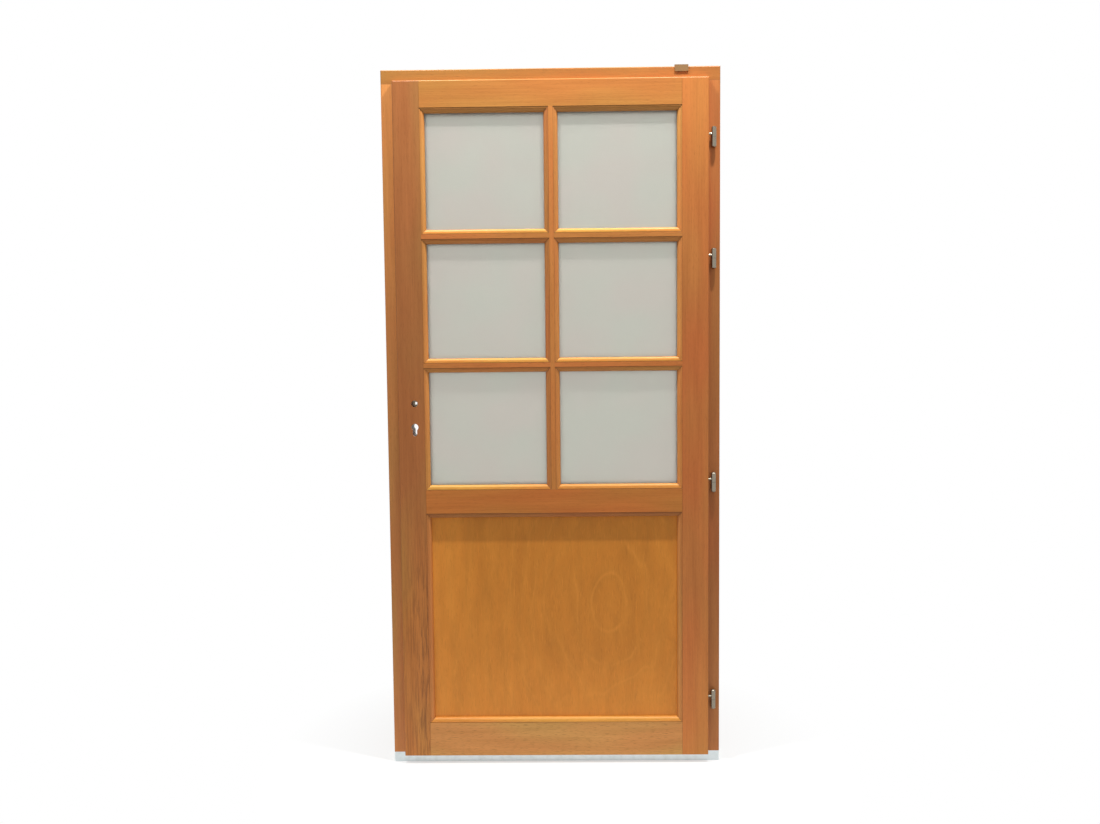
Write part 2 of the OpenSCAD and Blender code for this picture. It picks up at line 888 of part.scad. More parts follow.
module panel() {
    color(PANEL_WOOD)
        sheet(-stile_x, panel_bottom_z, 2 * stile_x, panel_top_z - panel_bottom_z, edge_gap,
              glass_front_y, glass_back_y);
}

module glass_inner(i) {
    color(GLASS)
        sheet(pane_x(i), pane_z(i), pane_w, row_h, edge_gap, glass_front_y, glass_front_y + glass_t);
}

module glass_outer(i) {
    color(GLASS)
        sheet(pane_x(i), pane_z(i), pane_w, row_h, edge_gap, glass_back_y - glass_t, glass_back_y);
}

module spacer_frames() {
    cavity_y = glass_front_y + glass_t;
    inset = edge_gap + 1;
    color("#c9cdd0") for (i = [0:pane_count - 1]) difference() {
        sheet(pane_x(i), pane_z(i), pane_w, row_h, inset, cavity_y, cavity_y + cavity_t);
        sheet(pane_x(i), pane_z(i), pane_w, row_h, inset + spacer_w, cavity_y - 1, cavity_y + cavity_t + 1);
    }
}

// Weather bar: a sloping top that sheds water, a drip groove under its nose
module weather_bar() {
    y0 = leaf_back_y;
    y1 = leaf_back_y + weather_reach;
    z0 = body_bottom_z + weather_lift;
    z1 = z0 + weather_h;
    color(WOOD) along_x(-stop_x + bar_end_gap, stop_x - bar_end_gap) difference() {
        polygon([[y0, z0], [y1, z0], [y1, z0 + weather_nose_h], [y0 + weather_top_t, z1], [y0, z1]]);
        translate([y1 - 2 * drip_w, z0 - 1]) square([drip_w, drip_w + 1]);
        translate([y1, z0 + weather_nose_h]) circle(weather_nick_r);
    }
}

// Lock

module lock_mortise() {
    box([edge_x - 1, lock_y - plate_w / 2, plate_z - plate_l / 2],
        [case_front_x, lock_y + plate_w / 2, plate_z + plate_l / 2]);
    box([edge_x, lock_y - case_t / 2 - case_clear, case_bottom_z - case_clear],
        [case_back_x + case_clear, lock_y + case_t / 2 + case_clear, case_top_z + case_clear]);
}

module lock_case() {
    inner = case_t / 2 - case_wall;
    color(STEEL) difference() {
        box([case_front_x, lock_y - case_t / 2, case_bottom_z],
            [case_back_x, lock_y + case_t / 2, case_top_z]);
        box([case_front_x - 1, lock_y - inner, case_bottom_z + case_wall],
            [case_back_x - case_wall, lock_y + inner, case_top_z - case_wall]);
        along_y(lock_y - case_t, lock_y + case_t) {
            translate([lock_x, handle_z]) circle(collar_r + collar_clear);
            keyhole(euro_round_d, euro_tail_w, euro_h);
        }
    }
}

module bolt_slot(z, h) {
    box([edge_x - 1, lock_y - bolt_t / 2 - bolt_clear, z - bolt_clear],
        [case_front_x + 1, lock_y + bolt_t / 2 + bolt_clear, z + h + bolt_clear]);
}

module faceplate_screws_at() {
    for (side = [-1, 1])
        translate([edge_x, lock_y, plate_z + side * (plate_l / 2 - plate_screw_end)]) children();
}

module lock_faceplate() {
    color(STEEL) difference() {
        box([edge_x, lock_y - plate_w / 2, plate_z - plate_l / 2],
            [case_front_x, lock_y + plate_w / 2, plate_z + plate_l / 2]);
        bolt_slot(latch_z, latch_h);
        bolt_slot(deadbolt_z, deadbolt_h);
        faceplate_screws_at() wood_screw();
    }
}

module faceplate_screws() {
    color(STEEL) faceplate_screws_at() wood_screw();
}

// Follower: a disc on two collars, with an arm that draws the latch
module follower() {
    disc_t = case_t - 2 * case_wall - 2 * bolt_clear;
    color("#c8b27a") difference() {
        union() {
            along_y(lock_y - disc_t / 2, lock_y + disc_t / 2)
                translate([lock_x, handle_z]) circle(follower_r);
            along_y(lock_y - case_t / 2, lock_y + case_t / 2)
                translate([lock_x, handle_z]) circle(collar_r);
            along_y(lock_y - arm_t / 2, lock_y + arm_t / 2) translate([lock_x, handle_z]) {
                translate([-arm_w / 2, 0]) square([arm_w, arm_r]);
                translate([0, arm_r]) circle(d = arm_w);
            }
        }
        along_y(lock_y - case_t, lock_y + case_t)
            translate([lock_x - spindle_sq / 2, handle_z - spindle_sq / 2]) square(spindle_sq);
    }
}

// Latch bolt: bevelled head, a bar over the follower and a hook behind its arm
module latch_bolt() {
    y0 = lock_y - bolt_t / 2;
    y1 = lock_y + bolt_t / 2;
    tip_x = edge_x - latch_throw;
    top_z = latch_z + latch_h;
    color(STEEL) {
        along_z(latch_z, top_z) polygon([
            [tip_x, y0], [latch_back_x, y0], [latch_back_x, y1], [edge_x, y1], [tip_x, y0 + latch_nose]
        ]);
        box([latch_back_x - 1, lock_y - arm_t / 2, hook_z], [hook_x + hook_l, lock_y + arm_t / 2, top_z]);
        box([hook_x, lock_y - arm_t / 2, latch_z], [hook_x + hook_l, lock_y + arm_t / 2, top_z]);
        box([latch_back_x - latch_lug_l, lock_y - arm_t / 2, top_z - 1],
            [latch_back_x, lock_y + arm_t / 2, top_z + latch_lug_h]);
    }
}

// Coil of round wire from the latch's lug to the back of the case
module latch_spring() {
    sides = 6;
    steps = 10;
    rings = spring_turns * steps;
    pitch = (spring_l - 2 * spring_wire_r) / rings;
    points = [for (k = [0:rings], s = [0:sides - 1])
        let (a = 360 * k / steps, b = 360 * s / sides, r = spring_r + spring_wire_r * cos(b))
        [spring_x + spring_wire_r + pitch * k + spring_wire_r * sin(b),
         lock_y + r * cos(a), spring_z + r * sin(a)]];
    skin = [for (k = [0:rings - 1], s = [0:sides - 1], half = [0, 1])
        let (n = (s + 1) % sides, p = k * sides, q = p + sides)
        half == 0 ? [p + s, q + s, q + n] : [p + s, q + n, p + n]];
    ends = [[for (s = [0:sides - 1]) s], [for (s = [0:sides - 1]) rings * sides + sides - 1 - s]];
    color("#9a9a96") polyhedron(points, concat(skin, ends));
}

module deadbolt() {
    y0 = lock_y - bolt_t / 2;
    y1 = lock_y + bolt_t / 2;
    color(STEEL) difference() {
        box([edge_x, y0, deadbolt_z], [deadbolt_back_x, y1, deadbolt_z + deadbolt_h]);
        box([lock_x - cam_notch_w / 2, y0 - 1, deadbolt_z - 1],
            [lock_x + cam_notch_w / 2, y1 + 1, deadbolt_z + cam_notch_h]);
    }
}

jamb_left();
jamb_right();
head();
threshold();
threshold_cap(-1);  // threshold_cap_left
threshold_cap(1);  // threshold_cap_right
frame_seal();
threshold_seal();
strike_plate();
strike_screws();
head_lug();
for (i = [0:hinge_count - 1]) {
    hinge_frame_knuckle(i);
    hinge_leaf_knuckle(i);
}
hinge_pins();
hinge_washers();
stile_lock();
stile_hinge();
rail_top();
rail_middle();
rail_bottom();
bar_vertical();
bar_upper_left();
bar_upper_right();
bar_lower_left();
bar_lower_right();
panel();
panel_beads();
for (i = [0:pane_count - 1]) {
    glazing_beads(i);
    glass_inner(i);
    glass_outer(i);
}
spacer_frames();
weather_bar();
lock_case();
lock_faceplate();
faceplate_screws();
follower();
latch_bolt();
latch_spring();
deadbolt();
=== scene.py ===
"""Finishes, latch spring, screws and stage for the half-glazed timber back door and its frame."""

import math

import bpy
from bpy.props import FloatProperty, FloatVectorProperty, PointerProperty
from mathutils import Matrix, Vector


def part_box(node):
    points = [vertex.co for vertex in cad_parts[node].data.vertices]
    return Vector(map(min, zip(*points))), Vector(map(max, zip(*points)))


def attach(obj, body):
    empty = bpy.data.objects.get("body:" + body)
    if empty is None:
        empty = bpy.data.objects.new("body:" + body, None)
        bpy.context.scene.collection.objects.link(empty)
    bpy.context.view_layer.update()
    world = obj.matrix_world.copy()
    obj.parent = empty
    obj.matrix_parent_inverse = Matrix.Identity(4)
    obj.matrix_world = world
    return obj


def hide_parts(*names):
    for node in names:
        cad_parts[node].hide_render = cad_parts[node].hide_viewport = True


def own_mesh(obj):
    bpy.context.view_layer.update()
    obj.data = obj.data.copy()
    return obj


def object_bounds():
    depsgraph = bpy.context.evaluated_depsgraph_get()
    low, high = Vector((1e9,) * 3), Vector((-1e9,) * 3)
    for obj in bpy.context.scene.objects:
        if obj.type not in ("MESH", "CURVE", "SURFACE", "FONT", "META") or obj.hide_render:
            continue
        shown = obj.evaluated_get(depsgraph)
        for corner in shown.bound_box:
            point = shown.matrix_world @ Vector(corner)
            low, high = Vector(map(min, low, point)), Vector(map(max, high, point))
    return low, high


bl_info = {
    "name": "Glazed back door",
    "version": (1, 0, 0),
    "blender": (4, 5, 0),
    "location": "3D View > Sidebar > Door",
    "description": "Dresses a half-glazed timber back door in its frame",
    "category": "Object",
}

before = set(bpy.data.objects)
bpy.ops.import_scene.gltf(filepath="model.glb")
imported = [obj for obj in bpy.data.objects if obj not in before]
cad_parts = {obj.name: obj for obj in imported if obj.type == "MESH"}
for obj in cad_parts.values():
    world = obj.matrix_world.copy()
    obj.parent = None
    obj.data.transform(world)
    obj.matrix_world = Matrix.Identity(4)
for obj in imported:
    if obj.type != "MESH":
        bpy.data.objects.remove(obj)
CAD_BOX = [list(corner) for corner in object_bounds()]

MM = 0.001
PANES = range(1, 7)
LEFT_PANES = PANES[::2]
HINGES = range(1, 5)

# Edges of the leaf's boards and openings, read from the nodes that lie there
PANEL_LOW, PANEL_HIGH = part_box("panel_beads")
RAIL_END_X = PANEL_HIGH.x
STILE_EDGE_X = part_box("stile_lock")[0].x
HEAD_FACE = 40 * MM  # the head's height over the jambs' shoulders
HEAD_JOINT_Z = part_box("head")[1].z - HEAD_FACE

# Painted light and shade towards one end of a board: the heights where it is whole and where it ends,
# its gain
# Painted light: the lock stile lighter at its foot, the hinge stile lighter at its foot and its top
LOCK_STILE_FOOT_LIGHT = (0.45, 0.85, (1.22, 1.27, 1.0))
HINGE_STILE_FOOT_LIGHT = (0.15, 0.55, (1.03, 1.17, 1.02))
HINGE_STILE_TOP_LIGHT = (1.95, 1.35, (1.13, 1.22, 1.09))
# Painted shade: the jambs grow darker lower down
JAMB_FOOT_SHADE = (0.9, 1.7, (0.78, 0.80, 0.86))

# Coarse grain at the lock stile's foot: its strength, the share of that at the stile's edge, and
# where across the stile it grows from one to the other
COARSE, COARSE_EDGE = 0.8, 0.35
COARSE_FROM_X = STILE_EDGE_X + 10 * MM
COARSE_TO_X = STILE_EDGE_X + 70 * MM

# Where a board lies in the noise for each unit of its shift, so that no two boards are alike
BOARD_STEP = (1.0, 3.1, 1.7)

# Gains on a board's own colour
LATE_WOOD = (0.80, 0.74, 0.66)
EARLY_WOOD = (1.17, 1.20, 1.22)
RED_WOOD = (1.05, 0.92, 0.88)
YELLOW_WOOD = (1.0, 1.06, 0.98)
PORE_SHADE = (0.45, 0.38, 0.32)
COARSE_SHADE = (0.5, 0.46, 0.4)
SEAM_SHADE = (0.3, 0.24, 0.2)
BEAD_SEAM_SHADE = (0.25, 0.19, 0.16)
# Painted shade on the panel's beads
BEAD_PAINTED_SHADE = (0.5, 0.44, 0.42)
# Painted light on each opening's foot bead, which faces up to the lamps
FOOT_BEAD_LIGHT = (1.09, 1.22, 0.86)
# The left panes' right-hand beads are painted darker
BAR_BEAD = (0.84, 0.77, 0.84)

# Widths of the timber's patterns across the grain, and the noise over which each fades in
FIGURE_W = 28 * MM
PATCH_W = 110 * MM
COARSE_W = 4.2 * MM
TONE_SPAN = (0.22, 0.78)
PATCH_SPAN = (0.38, 0.62)
PORE_SPAN = (0.56, 0.70)
COARSE_SPAN = (0.47, 0.60)

# Fine streaks: share of the tone, height beside a pore's depth, swing of the gloss
STREAK_SHARE = 0.45
STREAK_RELIEF = 0.5
GLOSS_SWING = 0.14

# How dark pores are on a plain board, a bead, a bar and the bottom rail
BOARD_FLECK, BEAD_FLECK, BAR_FLECK, BOTTOM_FLECK = 0.2, 0.25, 0.3, 0.55

# How dark the joints are at a board's end, round level and upright beads and in a mitre
BOARD_JOINT, LEVEL_JOINT, UPRIGHT_JOINT, MITRE_JOINT = 0.6, 0.76, 0.4, 0.56
MITRE_CORE, MITRE_EDGE = 0.3 * MM, 1.2 * MM

# Where a joint is darkest and where it ends, in joint widths: at a board's end and round a bead
BOARD_CORE = 0.2
RIM_CORE, RIM_EDGE = 0.6, 1.4

# Painted shade on the panel's beads, under the middle rail and beside the stiles: strength, share of
# that on the upright ones, width of its edge
BEAD_SHADE_SHARE, UPRIGHT_SHADE_SHARE = 0.7, 0.5
SHADE_EDGE = 2 * MM

# Gains on the veneer's own colour
VENEER_DARK = (0.84, 0.82, 0.78)
VENEER_LIGHT = (1.12, 1.12, 1.14)
VENEER_BAND = (1.04, 0.90, 0.76)
VENEER_WORN = (1.3, 1.34, 1.6)
VENEER_VESSEL = (0.6, 0.52, 0.45)

# Widths of the veneer's patterns, the noise over which each fades in, and their shares
BLOTCH_W, CLOUD_W, FIBRE_W = 30 * MM, 90 * MM, 6 * MM
DASH_W, VESSEL_W = 4 * MM, 2.2 * MM
VENEER_SPAN = (0.34, 0.66)
GAP_SPAN = (0.38, 0.54)
DASH_SPAN = (0.60, 0.74)
VESSEL_SPAN = (0.58, 0.70)
BLOTCH_SHARE, CLOUD_SHARE, FIBRE_SHARE = 0.45, 0.4, 0.15
DASH_SHARE, VESSEL_SHARE = 0.42, 0.22
FIBRE_RELIEF = 0.4
NOISE_MEAN = 0.5

# The veneer's loops, counted from its heart. Each row goes from one count to another, and the last
# two of its numbers are what is there at each: how far a loop wanders and how clear its outline is.
# Bands and outlines go from an outline to the middle between two.
LOOP_WANDER = (0.7, 2.6, 0.9, 3.4)
LOOP_CLEAR = (1.1, 3.4, 0.42, 0.2)
LOOP_BAND = (0.05, 0.5, 0.0, 0.2)
LOOP_OUTLINE = (0.0, 0.10, 1.0, 0.0)
HALF_LOOP = 0.5
HEART_SPAN = (0.4, 0.7)  # no outline before the first, all of it after the second
LOOP_DEPTH = 1000.0  # the loops run straight through the sheet

# Wear on the veneer: its reach from the left edge, the foot and the right edge, and its strength
WORN_LEFT_W, WORN_LEFT = 160 * MM, 0.8
WORN_FOOT_H, WORN_FOOT = 250 * MM, 0.45
WORN_RIGHT_W, WORN_RIGHT = 130 * MM, 0.25

# Glass: its refractive index, gains on its tint, and the widths of its clouds and smears
GLASS_IOR = 1.5
COOL_GLASS = (0.97, 1.0, 0.97)
WARM_GLASS = (1.0, 0.975, 0.96)
GLASS_CLOUD_W, GLASS_SPAN = 140 * MM, (0.35, 0.65)
SMEAR_W, SMEAR_SPAN, SMEAR_GLOSS = 110 * MM, (0.3, 0.8), (0.01, 0.05)

# Metal: gain and dulling where it is handled, the patches' width, the swing of its marks
HANDLED, DULLED = (0.92, 0.915, 0.9), 0.16
HANDLED_W = 17 * MM
HANDLED_SPAN, DULL_SPAN = (0.4, 0.75), (0.45, 0.75)
MARK_SPAN, MARK_SWING = (0.3, 0.7), 0.06

# Plastic and rubber: gain under dust, its patches, their effect on the gloss, the mould's grit
DUSTY = (0.95, 0.95, 0.94)
DUST_W, DUST_SPAN, DULL_DUST_SPAN = 40 * MM, (0.4, 0.7), (0.3, 0.7)
CLEAN_GLOSS, DUSTY_GLOSS = -0.05, 0.08
GRIT_W = 0.8 * MM

# Stage: name, place across the door and share of the power of each lamp
LAMPS = (("left ceiling lamp", -0.55, 0.44), ("right ceiling lamp", 0.60, 0.56))
LAMP_SIZE = (0.2, 0.06)
FLOOR_HALF = 6.0
WHITE = (1, 1, 1, 1)

# Floor: distances from the door over which it throws less light back, and the share left; distances
# over which it turns white, and how white it is at the door
BOUNCE_NEAR, BOUNCE_FAR, BOUNCE_LEFT = 0.6, 1.6, 0.3
WHITE_NEAR, WHITE_FAR, WHITE_AT_DOOR = 0.4, 0.9, 0.5

# Soft light: its gain from below and from above, and the slopes between which it changes
FILL_BELOW, FILL_ABOVE = 0.35, 1.35
SLOPE_BELOW, SLOPE_ABOVE = -0.6, 0.9

# The photograph's viewpoint, fitted to lines of the door: metres, radians and pixels of the frame
CAMERA_PLACE = (0.02686, -2.81446, 1.25232)
CAMERA_PITCH, CAMERA_YAW, CAMERA_ROLL = -0.0665, 0.0131, 0.0099
FOCAL_PIXELS = 935.64
FRAME_PIXELS = 1100

# Kinds of node that the finishes are drawn with
MATH, VECTOR, RANGE = "ShaderNodeMath", "ShaderNodeVectorMath", "ShaderNodeMapRange"
MIX, NOISE, MAPPING = "ShaderNodeMix", "ShaderNodeTexNoise", "ShaderNodeMapping"
COORDS, SPLIT, JOIN = "ShaderNodeTexCoord", "ShaderNodeSeparateXYZ", "ShaderNodeCombineXYZ"
BUMP, SURFACE = "ShaderNodeBump", "ShaderNodeBsdfPrincipled"
CONE, MOVE, BOOLEAN = "GeometryNodeMeshCone", "GeometryNodeTransform", "GeometryNodeMeshBoolean"

# A Mix node's sockets for plain values and for colours, and its settings for colours
FACTOR, FIRST_VALUE, SECOND_VALUE, FIRST, SECOND = 0, 2, 3, 6, 7
COLOUR = {"out": 2, "data_type": "RGBA"}


# Shared helpers


def linear(code):
    """An sRGB hex value as a linear colour."""
    parts = [int(code[i : i + 2], 16) / 255 for i in (1, 3, 5)]
    return tuple(c / 12.92 if c <= 0.04045 else ((c + 0.055) / 1.055) ** 2.4 for c in parts)


def rgba(colour, gain=(1, 1, 1)):
    """A colour with its alpha, each channel times its gain."""
    return tuple(c * g for c, g in zip(colour, gain)) + (1,)


def add(tree, kind, sockets=(), out=0, **settings):
    """Adds a node with its settings, and sets or links its sockets, by key or in order.

    Returns one of its outputs, or all of them for None.
    """
    node = tree.nodes.new(kind)
    for key, value in settings.items():
        setattr(node, key, value)
    for key, value in sockets.items() if isinstance(sockets, dict) else enumerate(sockets):
        for item in value if isinstance(value, list) else [value]:
            if isinstance(item, bpy.types.NodeSocket):
                tree.links.new(item, node.inputs[key])
            else:
                node.inputs[key].default_value = item
    return node.outputs if out is None else node.outputs[out]


def blank_material(name):
    """A new material with no nodes, and its tree."""
    material = bpy.data.materials.new(name)
    material.use_nodes = True
    material.node_tree.nodes.clear()
    return material, material.node_tree


def finish_material(material, shader):
    """Links the shader to the material's output."""
    add(material.node_tree, "ShaderNodeOutputMaterial", {"Surface": shader}, out=None)
    return material


def dress(material, *nodes):
    """Gives these CAD nodes the material."""
    for node in nodes:
        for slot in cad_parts[node].material_slots:
            slot.link = "OBJECT"
            slot.material = material


# Sizes and colours that a user would change


def colour_property(name, description, code):
    """A colour from its sRGB hex value."""
    return FloatVectorProperty(
        name=name, description=description, subtype="COLOR", size=3, default=linear(code)
    )


def length_property(name, description, size, least):
    """A length in metres."""
    return FloatProperty(name=name, description=description, unit="LENGTH", default=size, min=least)


def share_property(name, description, share):
    """A share from none to all."""
    return FloatProperty(
        name=name, description=description, subtype="FACTOR", default=share, min=0, max=1
    )


class DOOR_PG_timber(bpy.types.PropertyGroup):
    """Varnished hardwood of the frame and the leaf."""

    head: colour_property("Head", "Varnished colour of the head", "#ad7236")
    jamb_left: colour_property("Lock jamb", "Colour of the jamb at the lock", "#d69150")
    jamb_right: colour_property("Hinge jamb", "Colour of the jamb at the hinges", "#c27740")
    stile_lock: colour_property("Lock stile", "Colour of the stile with the lock", "#a96e3c")
    stile_hinge: colour_property("Hinge stile", "Colour of the stile with the hinges", "#be723b")
    rail_top: colour_property("Top rail", "Colour of the top rail", "#c1803e")
    rail_middle: colour_property("Middle rail", "Colour of the middle rail", "#bf7636")
    rail_bottom: colour_property("Bottom rail", "Colour of the bottom rail", "#c48f50")
    bar: colour_property("Glazing bars", "Colour of the glazing bars", "#c77e40")
    bead: colour_property("Beads", "Colour of the glazing beads", "#cf8c4b")
    weather_bar: colour_property("Weather bar", "Colour of the weather bar", "#b87a46")
    grain: length_property("Grain width", "Width of one streak of the grain", 4 * MM, MM)
    pore: length_property("Pore width", "Drawn width of a pore", 1.6 * MM, 0.5 * MM)
    seam: length_property("Joint width", "Drawn width of a glue joint", 1.6 * MM, 0.2 * MM)
    arris: length_property("Eased edge", "Radius of the boards' sanded edges", 0.3 * MM, 0.1 * MM)
    bead_arris: length_property("Bead edge", "Radius of the beads' edges", 0.7 * MM, 0.1 * MM)
    roughness: share_property("Varnish roughness", "Roughness of the satin varnish", 0.42)


class DOOR_PG_panel(bpy.types.PropertyGroup):
    """Rotary-cut veneer of the lower panel."""

    colour: colour_property("Veneer", "Varnished colour of the veneer", "#c87f2b")
    heart: FloatVectorProperty(
        name="Heart",
        description="Middle of the veneer's loops",
        subtype="TRANSLATION",
        size=3,
        default=(0.163, 0.0, 0.49),
    )
    loop_w: length_property("Loop width", "Half the width of the inmost loop", 54 * MM, 10 * MM)
    loop_h: length_property("Loop height", "Half the height of the inmost loop", 98 * MM, 10 * MM)
    figure: length_property("Figure width", "Width of one wave of the figure", 170 * MM, 20 * MM)


class DOOR_PG_glass(bpy.types.PropertyGroup):
    """Double glazing with an obscured inner sheet."""

    tint: colour_property("Tint", "Colour of the obscured sheet", "#dcd7d0")
    outer: colour_property("Outer sheet", "Colour of the clear outdoor sheet", "#f3f8f5")
    spacer: colour_property("Spacer", "Colour of the strip between the sheets", "#c9cdd0")
    texture: length_property("Texture", "Size of a dimple of the obscured sheet", 4 * MM, 0.5 * MM)


class DOOR_PG_metal(bpy.types.PropertyGroup):
    """Hinges, lock, threshold and the small fittings."""

    hinge: colour_property("Hinges", "Colour of the hinges' satin nickel", "#938b7c")
    nickel: colour_property("Nickel", "Colour of the lock's plated steel", "#d6d3c9")
    follower: colour_property("Follower", "Colour of the cast follower", "#d4ccb2")
    aluminium: colour_property("Threshold", "Colour of the anodised threshold", "#d6dee0")
    washer: colour_property("Washers", "Colour of the washers in the hinges", "#57544d")
    caps: colour_property("End caps", "Colour of the threshold's end caps", "#f2f8f8")
    seal: colour_property("Seals", "Colour of the rubber seals", "#3a3632")
    lug: colour_property("Lug", "Colour of the lug on the head", "#8a6639")
    brush: length_property("Brush marks", "Spacing of the brush marks", 0.6 * MM, 0.1 * MM)
    spring_wire: length_property("Spring wire", "Diameter of the spring's wire", 0.9 * MM, 0.2 * MM)
    screw_head: length_property("Screw head", "Diameter of a countersunk head", 8 * MM, 2 * MM)
    cross_slot: length_property("Cross slot", "Width of a cross recess's slot", 1.1 * MM, 0.3 * MM)


class DOOR_PG_stage(bpy.types.PropertyGroup):
    """Floor, lights and camera."""

    lamp_height: length_property("Lamp height", "Height of the lamps over the floor", 3.5, 2.5)
    lamp_reach: length_property("Lamp reach", "Distance of the lamps from the leaf", 0.46, 0.2)
    lamp_power: FloatProperty(
        name="Lamp power",
        description="Power of the ceiling lamps together",
        unit="POWER",
        default=100,
        min=0,
    )
    fill: FloatProperty(
        name="Fill", description="Strength of the soft light all round", default=0.5, min=0
    )
    bounce: share_property("Bounce", "Share of the light that the floor throws back", 0.9)
    floor: colour_property("Floor", "Colour of the floor", "#f4f4f2")


# Materials


def grain_noise(tree, coords, along, width, stretch, detail=3.0, distortion=0.0):
    """Streaks drawn out along the grain, so wide across it and so many widths long."""
    scale = [1 / width] * 3
    scale["XYZ".index(along)] = 1 / (width * stretch)
    drawn = add(tree, MAPPING, {"Vector": coords, "Scale": tuple(scale)})
    noise = {"Scale": 1.0, "Detail": detail, "Roughness": 0.6, "Distortion": distortion}
    return add(tree, NOISE, {"Vector": drawn, **noise})


# Satin-varnished hardwood, planed and sanded: streaks drawn out along the board, broad yellow and
# red patches and open pores. Real pores are about 0.3 mm wide and are drawn coarser, so that they
# show.
def timber_tone(tree, coords, colour, along, look, fleck=BOARD_FLECK, shift=0.0):
    """Colour, height and streaks of a board whose grain runs along one axis."""
    step = tuple(shift * share for share in BOARD_STEP)
    moved = add(tree, VECTOR, (coords, step), operation="ADD")
    streak = grain_noise(tree, moved, along, look.grain, stretch=45, detail=4)
    figure = grain_noise(tree, moved, along, FIGURE_W, stretch=14, detail=2, distortion=0.4)
    patch = grain_noise(tree, moved, along, PATCH_W, stretch=4, detail=1)
    pore = grain_noise(tree, moved, along, look.pore, stretch=12, detail=1)
    pore = add(tree, RANGE, (pore, *PORE_SPAN))

    # Streaks and figure choose between late and early wood
    tone = add(tree, MATH, (streak, STREAK_SHARE), operation="MULTIPLY")
    tone = add(tree, MATH, (figure, 1 - STREAK_SHARE, tone), operation="MULTIPLY_ADD")
    tone = add(tree, RANGE, (tone, *TONE_SPAN))
    tones = {FACTOR: tone, FIRST: rgba(colour, LATE_WOOD), SECOND: rgba(colour, EARLY_WOOD)}
    wood = add(tree, MIX, tones, **COLOUR)

    # Broad patches choose between yellow and red wood
    yellow = add(tree, VECTOR, (wood, YELLOW_WOOD), operation="MULTIPLY")
    red = add(tree, VECTOR, (wood, RED_WOOD), operation="MULTIPLY")
    warm = add(tree, RANGE, (patch, *PATCH_SPAN))
    wood = add(tree, MIX, {FACTOR: warm, FIRST: yellow, SECOND: red}, **COLOUR)

    # Pores are dark and lie deeper than the streaks
    deep = add(tree, MATH, (pore, fleck), operation="MULTIPLY")
    wood = add(tree, MIX, {FACTOR: deep, FIRST: wood, SECOND: rgba(colour, PORE_SHADE)}, **COLOUR)
    relief = add(tree, MATH, (streak, STREAK_RELIEF), operation="MULTIPLY")
    height = add(tree, MATH, (relief, pore), operation="SUBTRACT")
    return wood, height, streak


# Satin varnish, brushed on: it follows the grain, so its gloss breaks up in streaks, and it softens
# sharp edges.
def varnish(tree, wood, height, streak, look, arris):
    """The varnished surface of the wood."""
    eased = add(tree, "ShaderNodeBevel", {"Radius": arris}, samples=4)
    relief = {"Strength": 0.35, "Distance": 0.3 * MM, "Height": height, "Normal": eased}
    gloss = (streak, GLOSS_SWING, look.roughness - GLOSS_SWING / 2)
    sockets = {
        "Base Color": wood,
        "Roughness": add(tree, MATH, gloss, operation="MULTIPLY_ADD"),
        "Normal": add(tree, BUMP, relief),
        "Specular IOR Level": 0.25,
        "Coat Weight": 0.08,
        "Coat Roughness": 0.3,
    }
    return add(tree, SURFACE, sockets)


def board_material(name, colour, along, look, seam=None, painted_fades=(), coarse=0.0, **timber):
    """A board with dark glue lines, and with painted light and shade that fade in towards its ends.

    seam gives the axis and the reach of the glue lines. Coarse grain shows where the last painted
    fade is.
    """
    material, tree = blank_material(f"varnished hardwood {name}")
    coords = add(tree, COORDS, out="Object")
    place = add(tree, SPLIT, (coords,), out=None)
    wood, height, streak = timber_tone(tree, coords, colour, along, look, **timber)
    # Painted light and shade: the board grows lighter or darker towards one end
    for whole_z, end_z, gain in painted_fades:
        share = add(tree, RANGE, (place["Z"], end_z, whole_z))
        toned = add(tree, VECTOR, (wood, gain), operation="MULTIPLY")
        wood = add(tree, MIX, {FACTOR: share, FIRST: wood, SECOND: toned}, **COLOUR)
    if painted_fades and coarse:
        lines = grain_noise(tree, coords, along, COARSE_W, stretch=22, detail=4, distortion=0.6)
        lines = add(tree, RANGE, (lines, *COARSE_SPAN))
        inner = (place["X"], COARSE_FROM_X, COARSE_TO_X, COARSE_EDGE * coarse, coarse)
        inner = add(tree, RANGE, inner)
        shade = add(tree, MATH, (lines, share), operation="MULTIPLY")
        shade = add(tree, MATH, (shade, inner), operation="MULTIPLY")
        tones = {FACTOR: shade, FIRST: wood, SECOND: rgba(colour, COARSE_SHADE)}
        wood = add(tree, MIX, tones, **COLOUR)
    if seam:
        axis, end = seam
        reach = add(tree, MATH, (place[axis],), operation="ABSOLUTE")
        line = (reach, end - look.seam, end - BOARD_CORE * look.seam, 0.0, BOARD_JOINT)
        line = add(tree, RANGE, line)
        tones = {FACTOR: line, FIRST: wood, SECOND: rgba(colour, SEAM_SHADE)}
        wood = add(tree, MIX, tones, **COLOUR)
    return finish_material(material, varnish(tree, wood, height, streak, look, look.arris))


